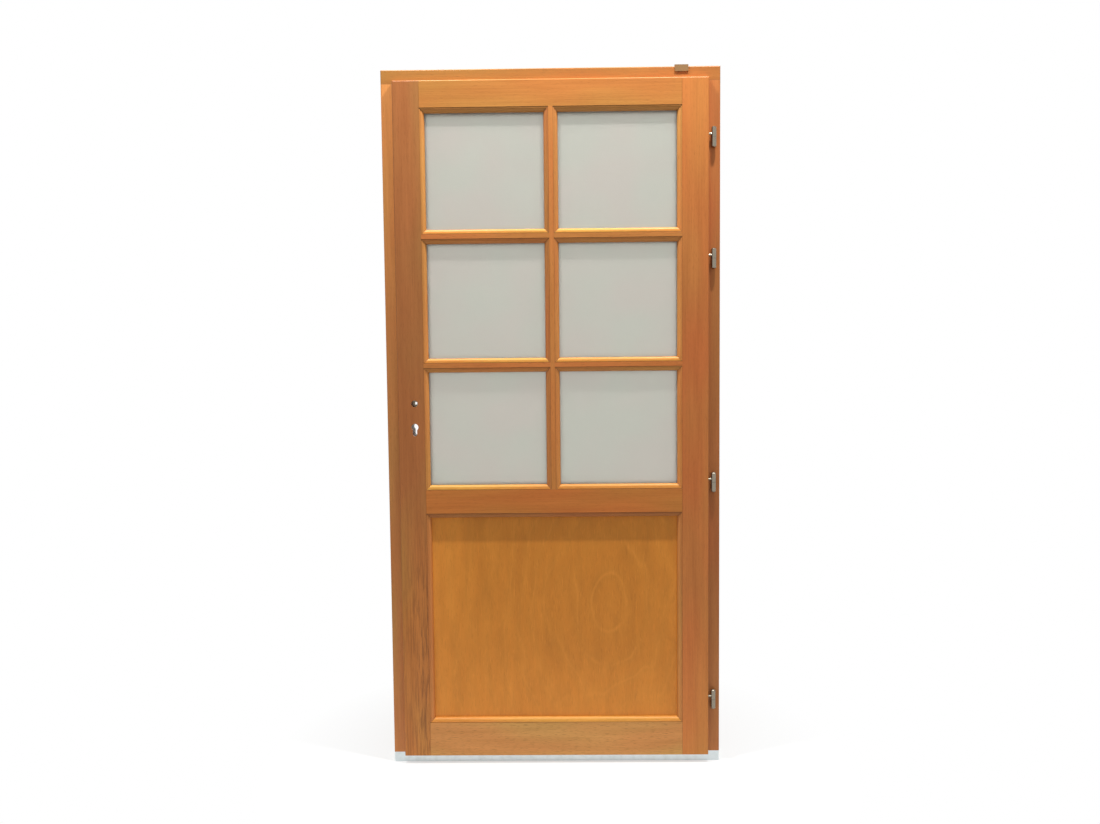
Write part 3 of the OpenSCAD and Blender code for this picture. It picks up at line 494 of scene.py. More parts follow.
def bead_material(name, colour, low, high, look, painted_shade=0.0, right_gain=None):
    """Mitred beads round one opening: grain along each, dark joints, painted light on the foot bead.
    """
    material, tree = blank_material(f"varnished hardwood beads {name}")
    coords = add(tree, COORDS, out="Object")
    x, _, z = add(tree, SPLIT, (coords,), out=None)

    # How far a point is from each side of the opening says which bead it is on
    left = add(tree, MATH, (x, low.x), operation="SUBTRACT")
    right = add(tree, MATH, (high.x, x), operation="SUBTRACT")
    side = add(tree, MATH, (left, right), operation="MINIMUM")
    foot = add(tree, MATH, (z, low.z), operation="SUBTRACT")
    top = add(tree, MATH, (high.z, z), operation="SUBTRACT")
    flat = add(tree, MATH, (foot, top), operation="MINIMUM")
    upright = add(tree, MATH, (side, flat), operation="LESS_THAN")

    # Wood of the upright and of the level beads
    wood_z, height_z, streak_z = timber_tone(tree, coords, colour, "Z", look, BEAD_FLECK, low.x)
    wood_x, height_x, streak_x = timber_tone(tree, coords, colour, "X", look, BEAD_FLECK, low.z)
    wood = add(tree, MIX, {FACTOR: upright, FIRST: wood_x, SECOND: wood_z}, **COLOUR)
    height = add(tree, MIX, {FACTOR: upright, FIRST_VALUE: height_x, SECOND_VALUE: height_z})
    streak = add(tree, MIX, {FACTOR: upright, FIRST_VALUE: streak_x, SECOND_VALUE: streak_z})

    # Beads of another tone: the right one painted darker, the one at the foot with painted light, and
    # all but that with painted shade where it is asked for
    if right_gain:
        chosen = add(tree, MATH, (right, flat), operation="LESS_THAN")
        darker = add(tree, VECTOR, (wood, right_gain), operation="MULTIPLY")
        wood = add(tree, MIX, {FACTOR: chosen, FIRST: wood, SECOND: darker}, **COLOUR)
    # Painted light: the foot bead is made lighter and yellower
    below = add(tree, MATH, (side, foot), operation="SUBTRACT")
    below = add(tree, RANGE, (below, 0.0, MM))
    worn_and_lit = add(tree, VECTOR, (wood, FOOT_BEAD_LIGHT), operation="MULTIPLY")
    wood = add(tree, MIX, {FACTOR: below, FIRST: wood, SECOND: worn_and_lit}, **COLOUR)
    # Painted shade on all but the foot bead, less on the upright ones
    if painted_shade:
        above = add(tree, MATH, (foot, side), operation="SUBTRACT")
        share = add(tree, RANGE, (upright, 0.0, 1.0, painted_shade, UPRIGHT_SHADE_SHARE * painted_shade))
        above = add(tree, RANGE, (above, 0.0, SHADE_EDGE, 0.0, share))
        shaded_wood = add(tree, VECTOR, (wood, BEAD_PAINTED_SHADE), operation="MULTIPLY")
        wood = add(tree, MIX, {FACTOR: above, FIRST: wood, SECOND: shaded_wood}, **COLOUR)

    # Dark joints round the opening and in the mitres
    rim = add(tree, MATH, (side, flat), operation="MINIMUM")
    deep = add(tree, RANGE, (upright, 0.0, 1.0, LEVEL_JOINT, UPRIGHT_JOINT))
    edge = (rim, RIM_CORE * look.seam, RIM_EDGE * look.seam, deep, 0.0)
    edge = add(tree, RANGE, edge)
    corner = add(tree, MATH, (side, flat), operation="SUBTRACT")
    corner = add(tree, MATH, (corner,), operation="ABSOLUTE")
    mitre = add(tree, RANGE, (corner, MITRE_CORE, MITRE_EDGE, MITRE_JOINT, 0.0))
    line = add(tree, MATH, (edge, mitre), operation="MAXIMUM")
    tones = {FACTOR: line, FIRST: wood, SECOND: rgba(colour, BEAD_SEAM_SHADE)}
    wood = add(tree, MIX, tones, **COLOUR)
    return finish_material(material, varnish(tree, wood, height, streak, look, look.bead_arris))


# Rotary-cut veneer, varnished: the knife unrolls the growth rings into broad loops with thin pale
# outlines, and leaves short upright vessel marks. Real vessels are about 0.2 mm wide, and are drawn
# coarser.
def veneer_material(name, panel, look):
    """The lower panel's varnished veneer."""
    material, tree = blank_material(name)
    colour = panel.colour
    coords = add(tree, COORDS, out="Object")
    x, _, z = add(tree, SPLIT, (coords,), out=None)

    # Loops about the heart, counted from it: even near it, wandering further out
    loop_size = (panel.loop_w, LOOP_DEPTH, panel.loop_h)
    about = {"Vector": coords, "Location": panel.heart, "Scale": loop_size}
    about = add(tree, MAPPING, about, vector_type="TEXTURE")
    loop = add(tree, VECTOR, (about,), out="Value", operation="LENGTH")
    wander = grain_noise(tree, coords, "Z", panel.figure, stretch=2.4, detail=2, distortion=0.5)
    wander = add(tree, MATH, (wander, NOISE_MEAN), operation="SUBTRACT")
    loose = add(tree, RANGE, (loop, *LOOP_WANDER))
    field = add(tree, MATH, (wander, loose, loop), operation="MULTIPLY_ADD")
    rings = add(tree, MATH, (field, HALF_LOOP), operation="PINGPONG")
    bands = add(tree, RANGE, (rings, *LOOP_BAND))

    # Their outlines: none at the heart, clearest round the inmost loop, with gaps
    gaps = add(tree, NOISE, {"Vector": coords, "Scale": 1 / CLOUD_W, "Detail": 1.0})
    gaps = add(tree, RANGE, (gaps, *GAP_SPAN))
    near = add(tree, RANGE, (loop, *HEART_SPAN))
    clear = add(tree, RANGE, (loop, *LOOP_CLEAR))
    clear = add(tree, MATH, (clear, near), operation="MULTIPLY")
    clear = add(tree, MATH, (clear, gaps), operation="MULTIPLY")
    outline = add(tree, RANGE, (rings, *LOOP_OUTLINE))
    pale = add(tree, MATH, (outline, clear), operation="MULTIPLY")

    # Wear: the varnish has gone pale towards the left edge, the foot and the right edge
    left = add(tree, RANGE, (x, PANEL_LOW.x, PANEL_LOW.x + WORN_LEFT_W, WORN_LEFT, 0.0))
    foot = add(tree, RANGE, (z, PANEL_LOW.z, PANEL_LOW.z + WORN_FOOT_H, WORN_FOOT, 0.0))
    right = add(tree, RANGE, (x, PANEL_HIGH.x - WORN_RIGHT_W, PANEL_HIGH.x, 0.0, WORN_RIGHT))
    worn = add(tree, MATH, (foot, right), operation="MAXIMUM")
    worn = add(tree, MATH, (left, worn), operation="MAXIMUM")

    # Marks: pale dashes and dark vessels
    dash = grain_noise(tree, coords, "Z", DASH_W, stretch=9, detail=1)
    dash = add(tree, RANGE, (dash, *DASH_SPAN, 0.0, DASH_SHARE))
    vessel = grain_noise(tree, coords, "Z", VESSEL_W, stretch=9, detail=1)
    vessel = add(tree, RANGE, (vessel, *VESSEL_SPAN))
    fine = add(tree, MATH, (vessel, VESSEL_SHARE), operation="MULTIPLY")

    # Ground tone from clouds, blotches and fibres
    fibre = grain_noise(tree, coords, "Z", FIBRE_W, stretch=30, detail=4)
    cloud = grain_noise(tree, coords, "Z", CLOUD_W, stretch=3, detail=3)
    blotch = grain_noise(tree, coords, "Z", BLOTCH_W, stretch=4, detail=4)
    tone = add(tree, MATH, (cloud, CLOUD_SHARE), operation="MULTIPLY")
    tone = add(tree, MATH, (blotch, BLOTCH_SHARE, tone), operation="MULTIPLY_ADD")
    tone = add(tree, MATH, (fibre, FIBRE_SHARE, tone), operation="MULTIPLY_ADD")
    tone = add(tree, RANGE, (tone, *VENEER_SPAN))
    tones = {FACTOR: tone, FIRST: rgba(colour, VENEER_DARK), SECOND: rgba(colour, VENEER_LIGHT)}
    wood = add(tree, MIX, tones, **COLOUR)

    # Bands, wear and marks on that ground
    wood = add(tree, MIX, {FACTOR: bands, FIRST: wood, SECOND: rgba(colour, VENEER_BAND)}, **COLOUR)
    worn_and_lit = add(tree, VECTOR, (wood, VENEER_WORN), operation="MULTIPLY")
    wood = add(tree, MIX, {FACTOR: worn, FIRST: wood, SECOND: worn_and_lit}, **COLOUR)
    for share, gain in ((pale, VENEER_WORN), (dash, VENEER_WORN), (fine, VENEER_VESSEL)):
        wood = add(tree, MIX, {FACTOR: share, FIRST: wood, SECOND: rgba(colour, gain)}, **COLOUR)
    relief = add(tree, MATH, (fibre, FIBRE_RELIEF), operation="MULTIPLY")
    height = add(tree, MATH, (relief, vessel), operation="SUBTRACT")
    return finish_material(material, varnish(tree, wood, height, fibre, look, look.arris))


# Rolled obscured glass: one face is rolled into fine dimples, which blur what is behind it to an
# even grey.
def obscured_glass_material(name, glass):
    """The room-side sheet of a unit."""
    material, tree = blank_material(name)
    coords = add(tree, COORDS, out="Object")
    dimples = add(tree, NOISE, {"Vector": coords, "Scale": 1 / glass.texture, "Detail": 2.0})
    cloud = add(tree, NOISE, {"Vector": coords, "Scale": 1 / GLASS_CLOUD_W, "Detail": 1.0})
    cloud = add(tree, RANGE, (cloud, *GLASS_SPAN))
    cool, warm = rgba(glass.tint, COOL_GLASS), rgba(glass.tint, WARM_GLASS)
    tones = {FACTOR: cloud, FIRST: cool, SECOND: warm}
    sockets = {
        "Base Color": add(tree, MIX, tones, **COLOUR),
        "Roughness": 0.5,
        "IOR": GLASS_IOR,
        "Transmission Weight": 0.85,
        "Normal": add(tree, BUMP, {"Strength": 0.4, "Distance": 0.6 * MM, "Height": dimples}),
    }
    return finish_material(material, add(tree, SURFACE, sockets))


# Clear float glass: flat, with a faint green from its iron and soft smears of cleaning.
def float_glass_material(name, colour):
    """The outdoor sheet of a unit."""
    material, tree = blank_material(name)
    coords = add(tree, COORDS, out="Object")
    smear = add(tree, NOISE, {"Vector": coords, "Scale": 1 / SMEAR_W, "Detail": 3.0})
    sockets = {
        "Base Color": rgba(colour),
        "Roughness": add(tree, RANGE, (smear, *SMEAR_SPAN, *SMEAR_GLOSS)),
        "IOR": GLASS_IOR,
        "Transmission Weight": 1.0,
    }
    return finish_material(material, add(tree, SURFACE, sockets))


# Bare or plated metal: fine marks along the tool's path stretch its highlights, and handling leaves
# duller patches. Real tool marks are about 0.1 mm apart and are drawn coarser.
def metal_material(name, colour, along, brush, roughness):
    """A metal with fine tool marks."""
    material, tree = blank_material(name)
    coords = add(tree, COORDS, out="Object")
    marks = grain_noise(tree, coords, along, brush, stretch=40, detail=2)
    touch = add(tree, NOISE, {"Vector": coords, "Scale": 1 / HANDLED_W, "Detail": 3.0})
    gloss = add(tree, RANGE, (marks, *MARK_SPAN, roughness - MARK_SWING, roughness + MARK_SWING))
    dull = add(tree, RANGE, (touch, *DULL_SPAN, 0.0, DULLED))
    handled = add(tree, RANGE, (touch, *HANDLED_SPAN))
    tones = {FACTOR: handled, FIRST: rgba(colour), SECOND: rgba(colour, HANDLED)}
    sockets = {
        "Base Color": add(tree, MIX, tones, **COLOUR),
        "Metallic": 1.0,
        "Roughness": add(tree, MATH, (gloss, dull), operation="ADD"),
        "Normal": add(tree, BUMP, {"Strength": 0.12, "Distance": 0.05 * MM, "Height": marks}),
    }
    return finish_material(material, add(tree, SURFACE, sockets))


# Moulded plastic and rubber: a fine grained skin from the mould, a little dusty in patches.
def moulded_material(name, colour, roughness):
    """A moulded plastic or rubber skin."""
    material, tree = blank_material(name)
    coords = add(tree, COORDS, out="Object")
    skin = add(tree, NOISE, {"Vector": coords, "Scale": 1 / GRIT_W, "Detail": 2.0})
    dust = add(tree, NOISE, {"Vector": coords, "Scale": 1 / DUST_W, "Detail": 3.0})
    dusty = add(tree, RANGE, (dust, *DUST_SPAN))
    gloss = (dust, *DULL_DUST_SPAN, roughness + CLEAN_GLOSS, roughness + DUSTY_GLOSS)
    tones = {FACTOR: dusty, FIRST: rgba(colour), SECOND: rgba(colour, DUSTY)}
    sockets = {
        "Base Color": add(tree, MIX, tones, **COLOUR),
        "Roughness": add(tree, RANGE, gloss),
        "Normal": add(tree, BUMP, {"Strength": 0.2, "Distance": 0.1 * MM, "Height": skin}),
    }
    return finish_material(material, add(tree, SURFACE, sockets))


# Operators


class DOOR_OT_frame(bpy.types.Operator):
    """Varnishes the jambs and the head"""

    bl_idname = "door.frame"
    bl_label = "Frame timbers"

    def execute(self, context):
        look = context.scene.door_timber
        # The jambs get painted shade towards their feet
        jamb = {"along": "Z", "look": look, "seam": ("Z", HEAD_JOINT_Z), "painted_fades": (JAMB_FOOT_SHADE,)}
        dress(board_material("lock jamb", look.jamb_left, shift=0.3, **jamb), "jamb_left")
        dress(board_material("hinge jamb", look.jamb_right, shift=1.9, **jamb), "jamb_right")
        dress(board_material("head", look.head, "X", look, shift=0.7), "head")
        return {"FINISHED"}


class DOOR_OT_leaf(bpy.types.Operator):
    """Varnishes the stiles, the rails and the weather bar"""

    bl_idname = "door.leaf"
    bl_label = "Leaf timbers"

    def execute(self, context):
        look = context.scene.door_timber
        # Painted light towards the lock stile's foot, where its coarse grain is real, and towards
        # both ends of the hinge stile
        foot = {"painted_fades": (LOCK_STILE_FOOT_LIGHT,), "coarse": COARSE}
        ends = {"painted_fades": (HINGE_STILE_TOP_LIGHT, HINGE_STILE_FOOT_LIGHT)}
        lock = board_material("lock stile", look.stile_lock, "Z", look, shift=2.3, **foot)
        dress(lock, "stile_lock")
        hinge = board_material("hinge stile", look.stile_hinge, "Z", look, shift=4.1, **ends)
        dress(hinge, "stile_hinge")
        rail = {"along": "X", "look": look, "seam": ("X", RAIL_END_X)}
        dress(board_material("top rail", look.rail_top, shift=0.9, **rail), "rail_top")
        dress(board_material("middle rail", look.rail_middle, shift=5.2, **rail), "rail_middle")
        bottom = {"fleck": BOTTOM_FLECK, "shift": 6.4, **rail}
        dress(board_material("bottom rail", look.rail_bottom, **bottom), "rail_bottom")
        dress(board_material("weather bar", look.weather_bar, "X", look, shift=7.7), "weather_bar")
        return {"FINISHED"}


class DOOR_OT_bars(bpy.types.Operator):
    """Varnishes the glazing bars"""

    bl_idname = "door.bars"
    bl_label = "Glazing bars"

    def execute(self, context):
        look = context.scene.door_timber
        upright = board_material("upright bar", look.bar, "Z", look, fleck=BAR_FLECK, shift=8.8)
        dress(upright, "bar_vertical")
        flat = board_material("level bars", look.bar, "X", look, fleck=BAR_FLECK, shift=9.5)
        dress(flat, "bar_upper_left", "bar_upper_right", "bar_lower_left", "bar_lower_right")
        return {"FINISHED"}


class DOOR_OT_beads(bpy.types.Operator):
    """Varnishes the mitred beads round the panes and the panel"""

    bl_idname = "door.beads"
    bl_label = "Beads"

    def execute(self, context):
        look = context.scene.door_timber
        for i in PANES:
            node = f"glazing_beads_{i}"
            # The left panes' right-hand beads, beside the upright bar, are painted darker
            gain = BAR_BEAD if i in LEFT_PANES else None
            dress(bead_material(f"pane {i}", look.bead, *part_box(node), look, right_gain=gain), node)
        # The panel's beads get painted shade, all but the one at its foot
        panel = bead_material("panel", look.bead, PANEL_LOW, PANEL_HIGH, look, painted_shade=BEAD_SHADE_SHARE)
        dress(panel, "panel_beads")
        return {"FINISHED"}


class DOOR_OT_panel(bpy.types.Operator):
    """Veneers the lower panel"""

    bl_idname = "door.panel"
    bl_label = "Panel"

    def execute(self, context):
        scene = context.scene
        veneer = veneer_material("varnished rotary-cut veneer", scene.door_panel, scene.door_timber)
        dress(veneer, "panel")
        return {"FINISHED"}


class DOOR_OT_glass(bpy.types.Operator):
    """Glazes the panes and finishes their spacers"""

    bl_idname = "door.glass"
    bl_label = "Glass"

    def execute(self, context):
        glass, brush = context.scene.door_glass, context.scene.door_metal.brush
        inner = obscured_glass_material("rolled obscured glass", glass)
        dress(inner, *(f"glass_inner_{i}" for i in PANES))
        outer = float_glass_material("clear float glass", glass.outer)
        dress(outer, *(f"glass_outer_{i}" for i in PANES))
        # Roll-formed strip: plain grey, with marks along its length
        spacer = metal_material("roll-formed aluminium", glass.spacer, "Z", brush, 0.35)
        dress(spacer, "spacer_frames")
        return {"FINISHED"}


class DOOR_OT_hinges(bpy.types.Operator):
    """Plates the hinges"""

    bl_idname = "door.hinges"
    bl_label = "Hinges"

    def execute(self, context):
        metal = context.scene.door_metal
        # Turned and satin plated: a warm grey with one long highlight down the knuckle
        plate = metal_material("nickel-plated turned steel", metal.hinge, "Z", metal.brush, 0.28)
        knuckles = (f"hinge_{part}_knuckle_{i}" for part in ("frame", "leaf") for i in HINGES)
        dress(plate, *knuckles, "hinge_pins")
        # Moulded and self-coloured: a dull dark ring between the knuckles
        dress(moulded_material("moulded acetal", metal.washer, roughness=0.45), "hinge_washers")
        return {"FINISHED"}


class DOOR_OT_lock(bpy.types.Operator):
    """Plates the lock and the strike"""

    bl_idname = "door.lock"
    bl_label = "Lock"

    def execute(self, context):
        metal = context.scene.door_metal
        # Pressed and plated: flat sheen with upright marks
        plate = metal_material("nickel-plated pressed steel", metal.nickel, "Z", metal.brush, 0.32)
        dress(plate, "lock_case", "lock_faceplate", "strike_plate", "deadbolt", "latch_bolt")
        # Cast and tumbled: a dull, pale yellow grey
        cast = metal_material("tumbled cast brass", metal.follower, "Y", metal.brush, 0.5)
        dress(cast, "follower")
        return {"FINISHED"}


class DOOR_OT_spring(bpy.types.Operator):
    """Coils the latch spring; the coil is made at one length and does not shorten as the latch is
    drawn
    """

    bl_idname = "door.spring"
    bl_label = "Latch spring"

    # Turns of the coil, steps in a turn, and sides of the wire
    turns, steps, sides = 11, 28, 8

    def rise(self, turn, wire_r, pitch):
        """How far the coil has gone after some turns: the first and the last turn lie closed."""
        closed = min(turn, 1) + max(turn - self.turns + 1, 0)
        return closed * 2 * wire_r + min(max(turn - 1, 0), self.turns - 2) * pitch

    def coil(self, low, high, wire_r):
        """Corners and faces of a wire coil along X."""
        sides = self.sides
        radius = (high.z - low.z) / 2 - wire_r
        middle = (low + high) / 2
        # Three widths of the wire go to the two closed turns and the wire itself
        pitch = (high.x - low.x - 6 * wire_r) / (self.turns - 2)
        corners, faces = [], []
        for i in range(self.turns * self.steps + 1):
            turn = i / self.steps
            x = low.x + wire_r + self.rise(turn, wire_r, pitch)
            around = math.tau * turn
            for k in range(sides):
                angle = math.tau * k / sides
                reach = radius + wire_r * math.cos(angle)
                y, z = middle.y + reach * math.cos(around), middle.z + reach * math.sin(around)
                corners.append((x + wire_r * math.sin(angle), y, z))
            if i:
                a, b = (i - 1) * sides, i * sides
                pairs = [(k, (k + 1) % sides) for k in range(sides)]
                faces += [(a + k, a + n, b + n, b + k) for k, n in pairs]
        last = len(corners) - sides
        faces += [tuple(reversed(range(sides))), tuple(range(last, last + sides))]
        return corners, faces

    def execute(self, context):
        metal = context.scene.door_metal
        low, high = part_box("latch_spring")
        corners, faces = self.coil(low, high, metal.spring_wire / 2)
        mesh = bpy.data.meshes.new("latch_spring_coil")
        mesh.from_pydata(corners, [], faces)
        for polygon in mesh.polygons:
            polygon.use_smooth = True
        spring = bpy.data.objects.new("latch_spring_coil", mesh)
        context.collection.objects.link(spring)
        # Drawn wire: bright, with marks along it
        wire = metal_material("drawn spring steel", metal.nickel, "X", metal.brush, 0.25)
        mesh.materials.append(wire)
        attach(spring, "leaf")
        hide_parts("latch_spring")
        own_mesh(spring)
        return {"FINISHED"}


class DOOR_OT_screws(bpy.types.Operator):
    """Makes the countersunk screws of the faceplate and the strike"""

    bl_idname = "door.screws"
    bl_label = "Screws"

    # Shank and tip as shares of the length, where in the head the shank begins, a slot's length in
    # radii of the head and its height in lengths of the head, and the sides of the round parts
    shank_share, tip_share, neck_share = 0.8, 0.2, 0.9
    slot_reach, slot_depth = 1.1, 1.6
    head_sides, shank_sides = 40, 24

    def screw_tree(self, material):
        """Screws with a cross recess on the points of a mesh, as one realized mesh."""
        tree = bpy.data.node_groups.new("countersunk screws", "GeometryNodeTree")
        face = tree.interface
        face.new_socket("Points", in_out="INPUT", socket_type="NodeSocketGeometry")
        for name in ("Head diameter", "Shank diameter", "Length", "Slot width"):
            face.new_socket(name, in_out="INPUT", socket_type="NodeSocketFloat")
        face.new_socket("Turn", in_out="INPUT", socket_type="NodeSocketVector")
        face.new_socket("Screws", in_out="OUTPUT", socket_type="NodeSocketGeometry")
        start = add(tree, "NodeGroupInput", out=None)

        # Head, shank and tip, each a cone that begins inside the one before
        head_r = add(tree, MATH, (start["Head diameter"], 0.5), operation="MULTIPLY")
        shank_r = add(tree, MATH, (start["Shank diameter"], 0.5), operation="MULTIPLY")
        head_l = add(tree, MATH, (head_r, shank_r), operation="SUBTRACT")
        shank_l = add(tree, MATH, (start["Length"], self.shank_share), operation="MULTIPLY")
        tip_l = add(tree, MATH, (start["Length"], self.tip_share), operation="MULTIPLY")
        round_head = {"Vertices": self.head_sides, "Radius Top": shank_r, "Radius Bottom": head_r}
        head = add(tree, CONE, {**round_head, "Depth": head_l})
        round_shank = {"Vertices": self.shank_sides, "Radius Bottom": shank_r}
        shank = add(tree, CONE, {**round_shank, "Radius Top": shank_r, "Depth": shank_l})
        neck = add(tree, MATH, (head_l, self.neck_share), operation="MULTIPLY")
        shank = add(tree, MOVE, {"Geometry": shank, "Translation": add(tree, JOIN, {"Z": neck})})
        tip = add(tree, CONE, {**round_shank, "Radius Top": 0.0, "Depth": tip_l})
        tip = add(tree, MOVE, {"Geometry": tip, "Translation": add(tree, JOIN, {"Z": shank_l})})

        # Cross recess from two crossed slots
        slot_l = add(tree, MATH, (head_r, self.slot_reach), operation="MULTIPLY")
        slot_h = add(tree, MATH, (head_l, self.slot_depth), operation="MULTIPLY")
        slot_size = add(tree, JOIN, (slot_l, start["Slot width"], slot_h))
        slot = add(tree, "GeometryNodeMeshCube", {"Size": slot_size})
        crossed = add(tree, MOVE, {"Geometry": slot, "Rotation": (0, 0, math.pi / 2)})
        recess = add(tree, BOOLEAN, {1: [slot, crossed]}, operation="UNION")
        head = add(tree, BOOLEAN, {0: head, 1: recess}, operation="DIFFERENCE")

        whole = add(tree, "GeometryNodeJoinGeometry", {0: [head, shank, tip]})
        spread = {"Points": start["Points"], "Instance": whole, "Rotation": start["Turn"]}
        screws = add(tree, "GeometryNodeInstanceOnPoints", spread)
        real = add(tree, "GeometryNodeRealizeInstances", {0: screws})
        done = add(tree, "GeometryNodeSetMaterial", {"Geometry": real, "Material": material})
        add(tree, "NodeGroupOutput", {0: done}, out=None)
        return tree

    def make(self, context, tree, node, side):
        """The screws of one node as a plain mesh; side says which way along X they are driven."""
        metal = context.scene.door_metal
        low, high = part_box(node)
        head_r = metal.screw_head / 2
        face_x, middle_y = (high if side < 0 else low).x, (low.y + high.y) / 2
        mesh = bpy.data.meshes.new(node + "_points")
        mesh.from_pydata([(face_x, middle_y, z) for z in (low.z + head_r, high.z - head_r)], [], [])
        points = bpy.data.objects.new(node + "_points", mesh)
        context.collection.objects.link(points)
        modifier = points.modifiers.new("screws", "NODES")
        modifier.node_group = tree
        sizes = {
            "Head diameter": metal.screw_head,
            "Shank diameter": metal.screw_head / 2,
            "Length": high.x - low.x,
            "Slot width": metal.cross_slot,
            "Turn": (0.0, side * math.pi / 2, 0.0),
        }
        for item in tree.interface.items_tree:
            if item.in_out == "INPUT" and item.name in sizes:
                modifier[item.identifier] = sizes[item.name]
        graph = context.evaluated_depsgraph_get()
        made = bpy.data.meshes.new_from_object(points.evaluated_get(graph))
        points.modifiers.remove(modifier)
        bpy.data.objects.remove(points)
        if not made.polygons:
            raise RuntimeError(f"no screws were made for {node}")
        return made

    def execute(self, context):
        metal = context.scene.door_metal
        # Cold-formed and plated: bright heads with a dark cross
        steel = metal_material("nickel-plated formed steel", metal.nickel, "X", metal.brush, 0.3)
        tree = self.screw_tree(steel)
        for node, body, side in (("strike_screws", "frame", -1), ("faceplate_screws", "leaf", 1)):
            mesh = self.make(context, tree, node, side)
            screws = bpy.data.objects.new(node + "_cross_head", mesh)
            context.collection.objects.link(screws)
            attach(screws, body)
            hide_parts(node)
        return {"FINISHED"}


class DOOR_OT_threshold(bpy.types.Operator):
    """Finishes the threshold and its end caps"""

    bl_idname = "door.threshold"
    bl_label = "Threshold"

    def execute(self, context):
        metal = context.scene.door_metal
        # Extruded and anodised: a matt silver with faint die lines along it
        sill = metal_material("anodised extruded aluminium", metal.aluminium, "X", metal.brush, 0.4)
        dress(sill, "threshold")
        # Moulded: a milky white skin
        caps = moulded_material("moulded pale ABS", metal.caps, roughness=0.5)
        dress(caps, "threshold_cap_left", "threshold_cap_right")
        return {"FINISHED"}


class DOOR_OT_small_parts(bpy.types.Operator):
    """Finishes the seals and the lug on the head"""

    bl_idname = "door.small_parts"
    bl_label = "Seals and lug"

    def execute(self, context):
        metal = context.scene.door_metal
        # Extruded: matt and nearly black
        rubber = moulded_material("extruded EPDM rubber", metal.seal, roughness=0.6)
        dress(rubber, "frame_seal", "threshold_seal")
        # Moulded: a dull brown, darker than the timber
        dress(moulded_material("moulded brown ABS", metal.lug, roughness=0.5), "head_lug")
        return {"FINISHED"}


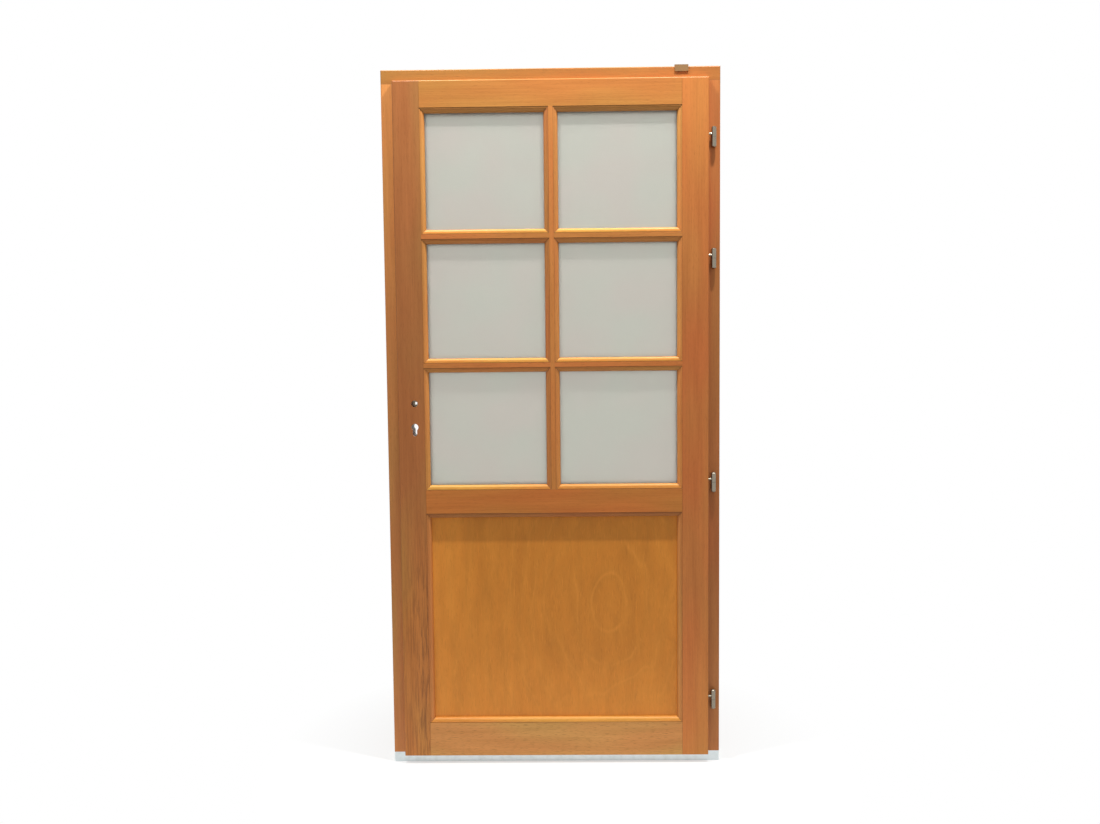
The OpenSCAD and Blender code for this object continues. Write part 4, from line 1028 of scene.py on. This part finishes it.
class DOOR_OT_stage(bpy.types.Operator):
    """Adds the floor, the lights and the camera"""

    bl_idname = "door.stage"
    bl_label = "Stage"

    def seen(self, tree):
        """One where the stage is seen, also in metal and glass, none where it only lights."""
        ray = add(tree, "ShaderNodeLightPath", out=None)
        shown = (ray["Is Camera Ray"], ray["Is Transmission Ray"])
        shown = add(tree, MATH, shown, operation="MAXIMUM")
        return add(tree, MATH, (shown, ray["Is Glossy Ray"]), operation="MAXIMUM")

    # Matt painted floor: pale and even, with the door's soft shadow, and white away from the door
    def floor_material(self, stage):
        """The floor that the door stands on."""
        material, tree = blank_material("matt painted floor")
        shown = self.seen(tree)
        coords = add(tree, COORDS, out="Object")
        reach = add(tree, VECTOR, (coords,), out="Value", operation="LENGTH")
        bounce = (reach, BOUNCE_NEAR, BOUNCE_FAR, stage.bounce, BOUNCE_LEFT * stage.bounce)
        bounce = add(tree, RANGE, bounce)
        colour = add(tree, MIX, {FACTOR: shown, FIRST: bounce, SECOND: rgba(stage.floor)}, **COLOUR)
        paint = {"Base Color": colour, "Roughness": 0.9, "Specular IOR Level": 0.0}
        near = add(tree, SURFACE, paint)
        far = add(tree, "ShaderNodeEmission", {"Color": WHITE, "Strength": 1.0})
        away = add(tree, RANGE, (reach, WHITE_NEAR, WHITE_FAR, WHITE_AT_DOOR, 1.0))
        away = add(tree, MATH, (away, shown), operation="MULTIPLY")
        return finish_material(material, add(tree, "ShaderNodeMixShader", (away, near, far)))

    def world(self, context, stage):
        """White where it is seen, brighter from above than below where it lights the door."""
        world = bpy.data.worlds.new("studio")
        world.use_nodes = True
        tree = world.node_tree
        tree.nodes.clear()
        rise = add(tree, SPLIT, (add(tree, COORDS, out="Generated"),), out="Z")
        below, above = FILL_BELOW * stage.fill, FILL_ABOVE * stage.fill
        glow = add(tree, RANGE, (rise, SLOPE_BELOW, SLOPE_ABOVE, below, above))
        soft = add(tree, "ShaderNodeBackground", {"Color": WHITE, "Strength": glow})
        white = add(tree, "ShaderNodeBackground", {"Color": WHITE, "Strength": 1.0})
        both = add(tree, "ShaderNodeMixShader", (self.seen(tree), soft, white))
        add(tree, "ShaderNodeOutputWorld", {"Surface": both}, out=None)
        context.scene.world = world

    def lamp(self, context, name, power, place, target):
        """A soft rectangular lamp aimed at a point."""
        data = bpy.data.lights.new(name, "AREA")
        data.shape = "RECTANGLE"
        data.size, data.size_y = LAMP_SIZE
        data.energy = power
        lamp = bpy.data.objects.new(name, data)
        lamp.location = place
        lamp.rotation_euler = (target - place).to_track_quat("-Z", "Y").to_euler()
        context.collection.objects.link(lamp)

    def camera(self, context):
        """The photograph's viewpoint."""
        data = bpy.data.cameras.new("view")
        data.sensor_fit = "HORIZONTAL"
        data.lens = FOCAL_PIXELS * data.sensor_width / FRAME_PIXELS
        camera = bpy.data.objects.new("view", data)
        turn = Matrix.Rotation(CAMERA_YAW, 3, "Z") @ Matrix.Rotation(CAMERA_PITCH, 3, "X")
        turn = turn @ Matrix.Rotation(CAMERA_ROLL, 3, "Y") @ Matrix.Rotation(math.pi / 2, 3, "X")
        camera.rotation_euler = turn.to_euler()
        camera.location = CAMERA_PLACE
        context.collection.objects.link(camera)
        context.scene.camera = camera

    def execute(self, context):
        stage = context.scene.door_stage
        half = FLOOR_HALF
        corners = [(-half, -half, 0), (half, -half, 0), (half, half, 0), (-half, half, 0)]
        mesh = bpy.data.meshes.new("floor")
        mesh.from_pydata(corners, [], [(0, 1, 2, 3)])
        floor = bpy.data.objects.new("floor", mesh)
        context.collection.objects.link(floor)
        mesh.materials.append(self.floor_material(stage))
        self.world(context, stage)
        for name, x, share in LAMPS:
            place = Vector((x, CAD_BOX[0][1] - stage.lamp_reach, stage.lamp_height))
            self.lamp(context, name, share * stage.lamp_power, place, place * Vector((1, 1, 0)))
        self.camera(context)
        context.scene.view_settings.view_transform = "Standard"
        return {"FINISHED"}


class DOOR_PT_panel(bpy.types.Panel):
    """Shows the door's settings and the buttons of its operators"""

    bl_idname = "DOOR_PT_panel"
    bl_label = "Glazed back door"
    bl_space_type = "VIEW_3D"
    bl_region_type = "UI"
    bl_category = "Door"

    def draw(self, context):
        layout = self.layout
        for group in GROUPS:
            box = layout.box()
            settings = getattr(context.scene, group)
            for key in settings.__annotations__:
                box.prop(settings, key)
        for operator in OPERATORS:
            layout.operator(operator.bl_idname)


GROUPS = {
    "door_timber": DOOR_PG_timber,
    "door_panel": DOOR_PG_panel,
    "door_glass": DOOR_PG_glass,
    "door_metal": DOOR_PG_metal,
    "door_stage": DOOR_PG_stage,
}
OPERATORS = (
    DOOR_OT_stage,
    DOOR_OT_frame,
    DOOR_OT_leaf,
    DOOR_OT_bars,
    DOOR_OT_beads,
    DOOR_OT_panel,
    DOOR_OT_glass,
    DOOR_OT_hinges,
    DOOR_OT_lock,
    DOOR_OT_spring,
    DOOR_OT_screws,
    DOOR_OT_threshold,
    DOOR_OT_small_parts,
)
CLASSES = (*GROUPS.values(), *OPERATORS, DOOR_PT_panel)


def register():
    for cls in CLASSES:
        bpy.utils.register_class(cls)
    for name, cls in GROUPS.items():
        setattr(bpy.types.Scene, name, PointerProperty(type=cls))


def unregister():
    for name in GROUPS:
        delattr(bpy.types.Scene, name)
    for cls in reversed(CLASSES):
        bpy.utils.unregister_class(cls)


def main():
    register()
    for operator in OPERATORS:
        group, name = operator.bl_idname.split(".")
        getattr(getattr(bpy.ops, group), name)()


if __name__ == "__main__":
    main()
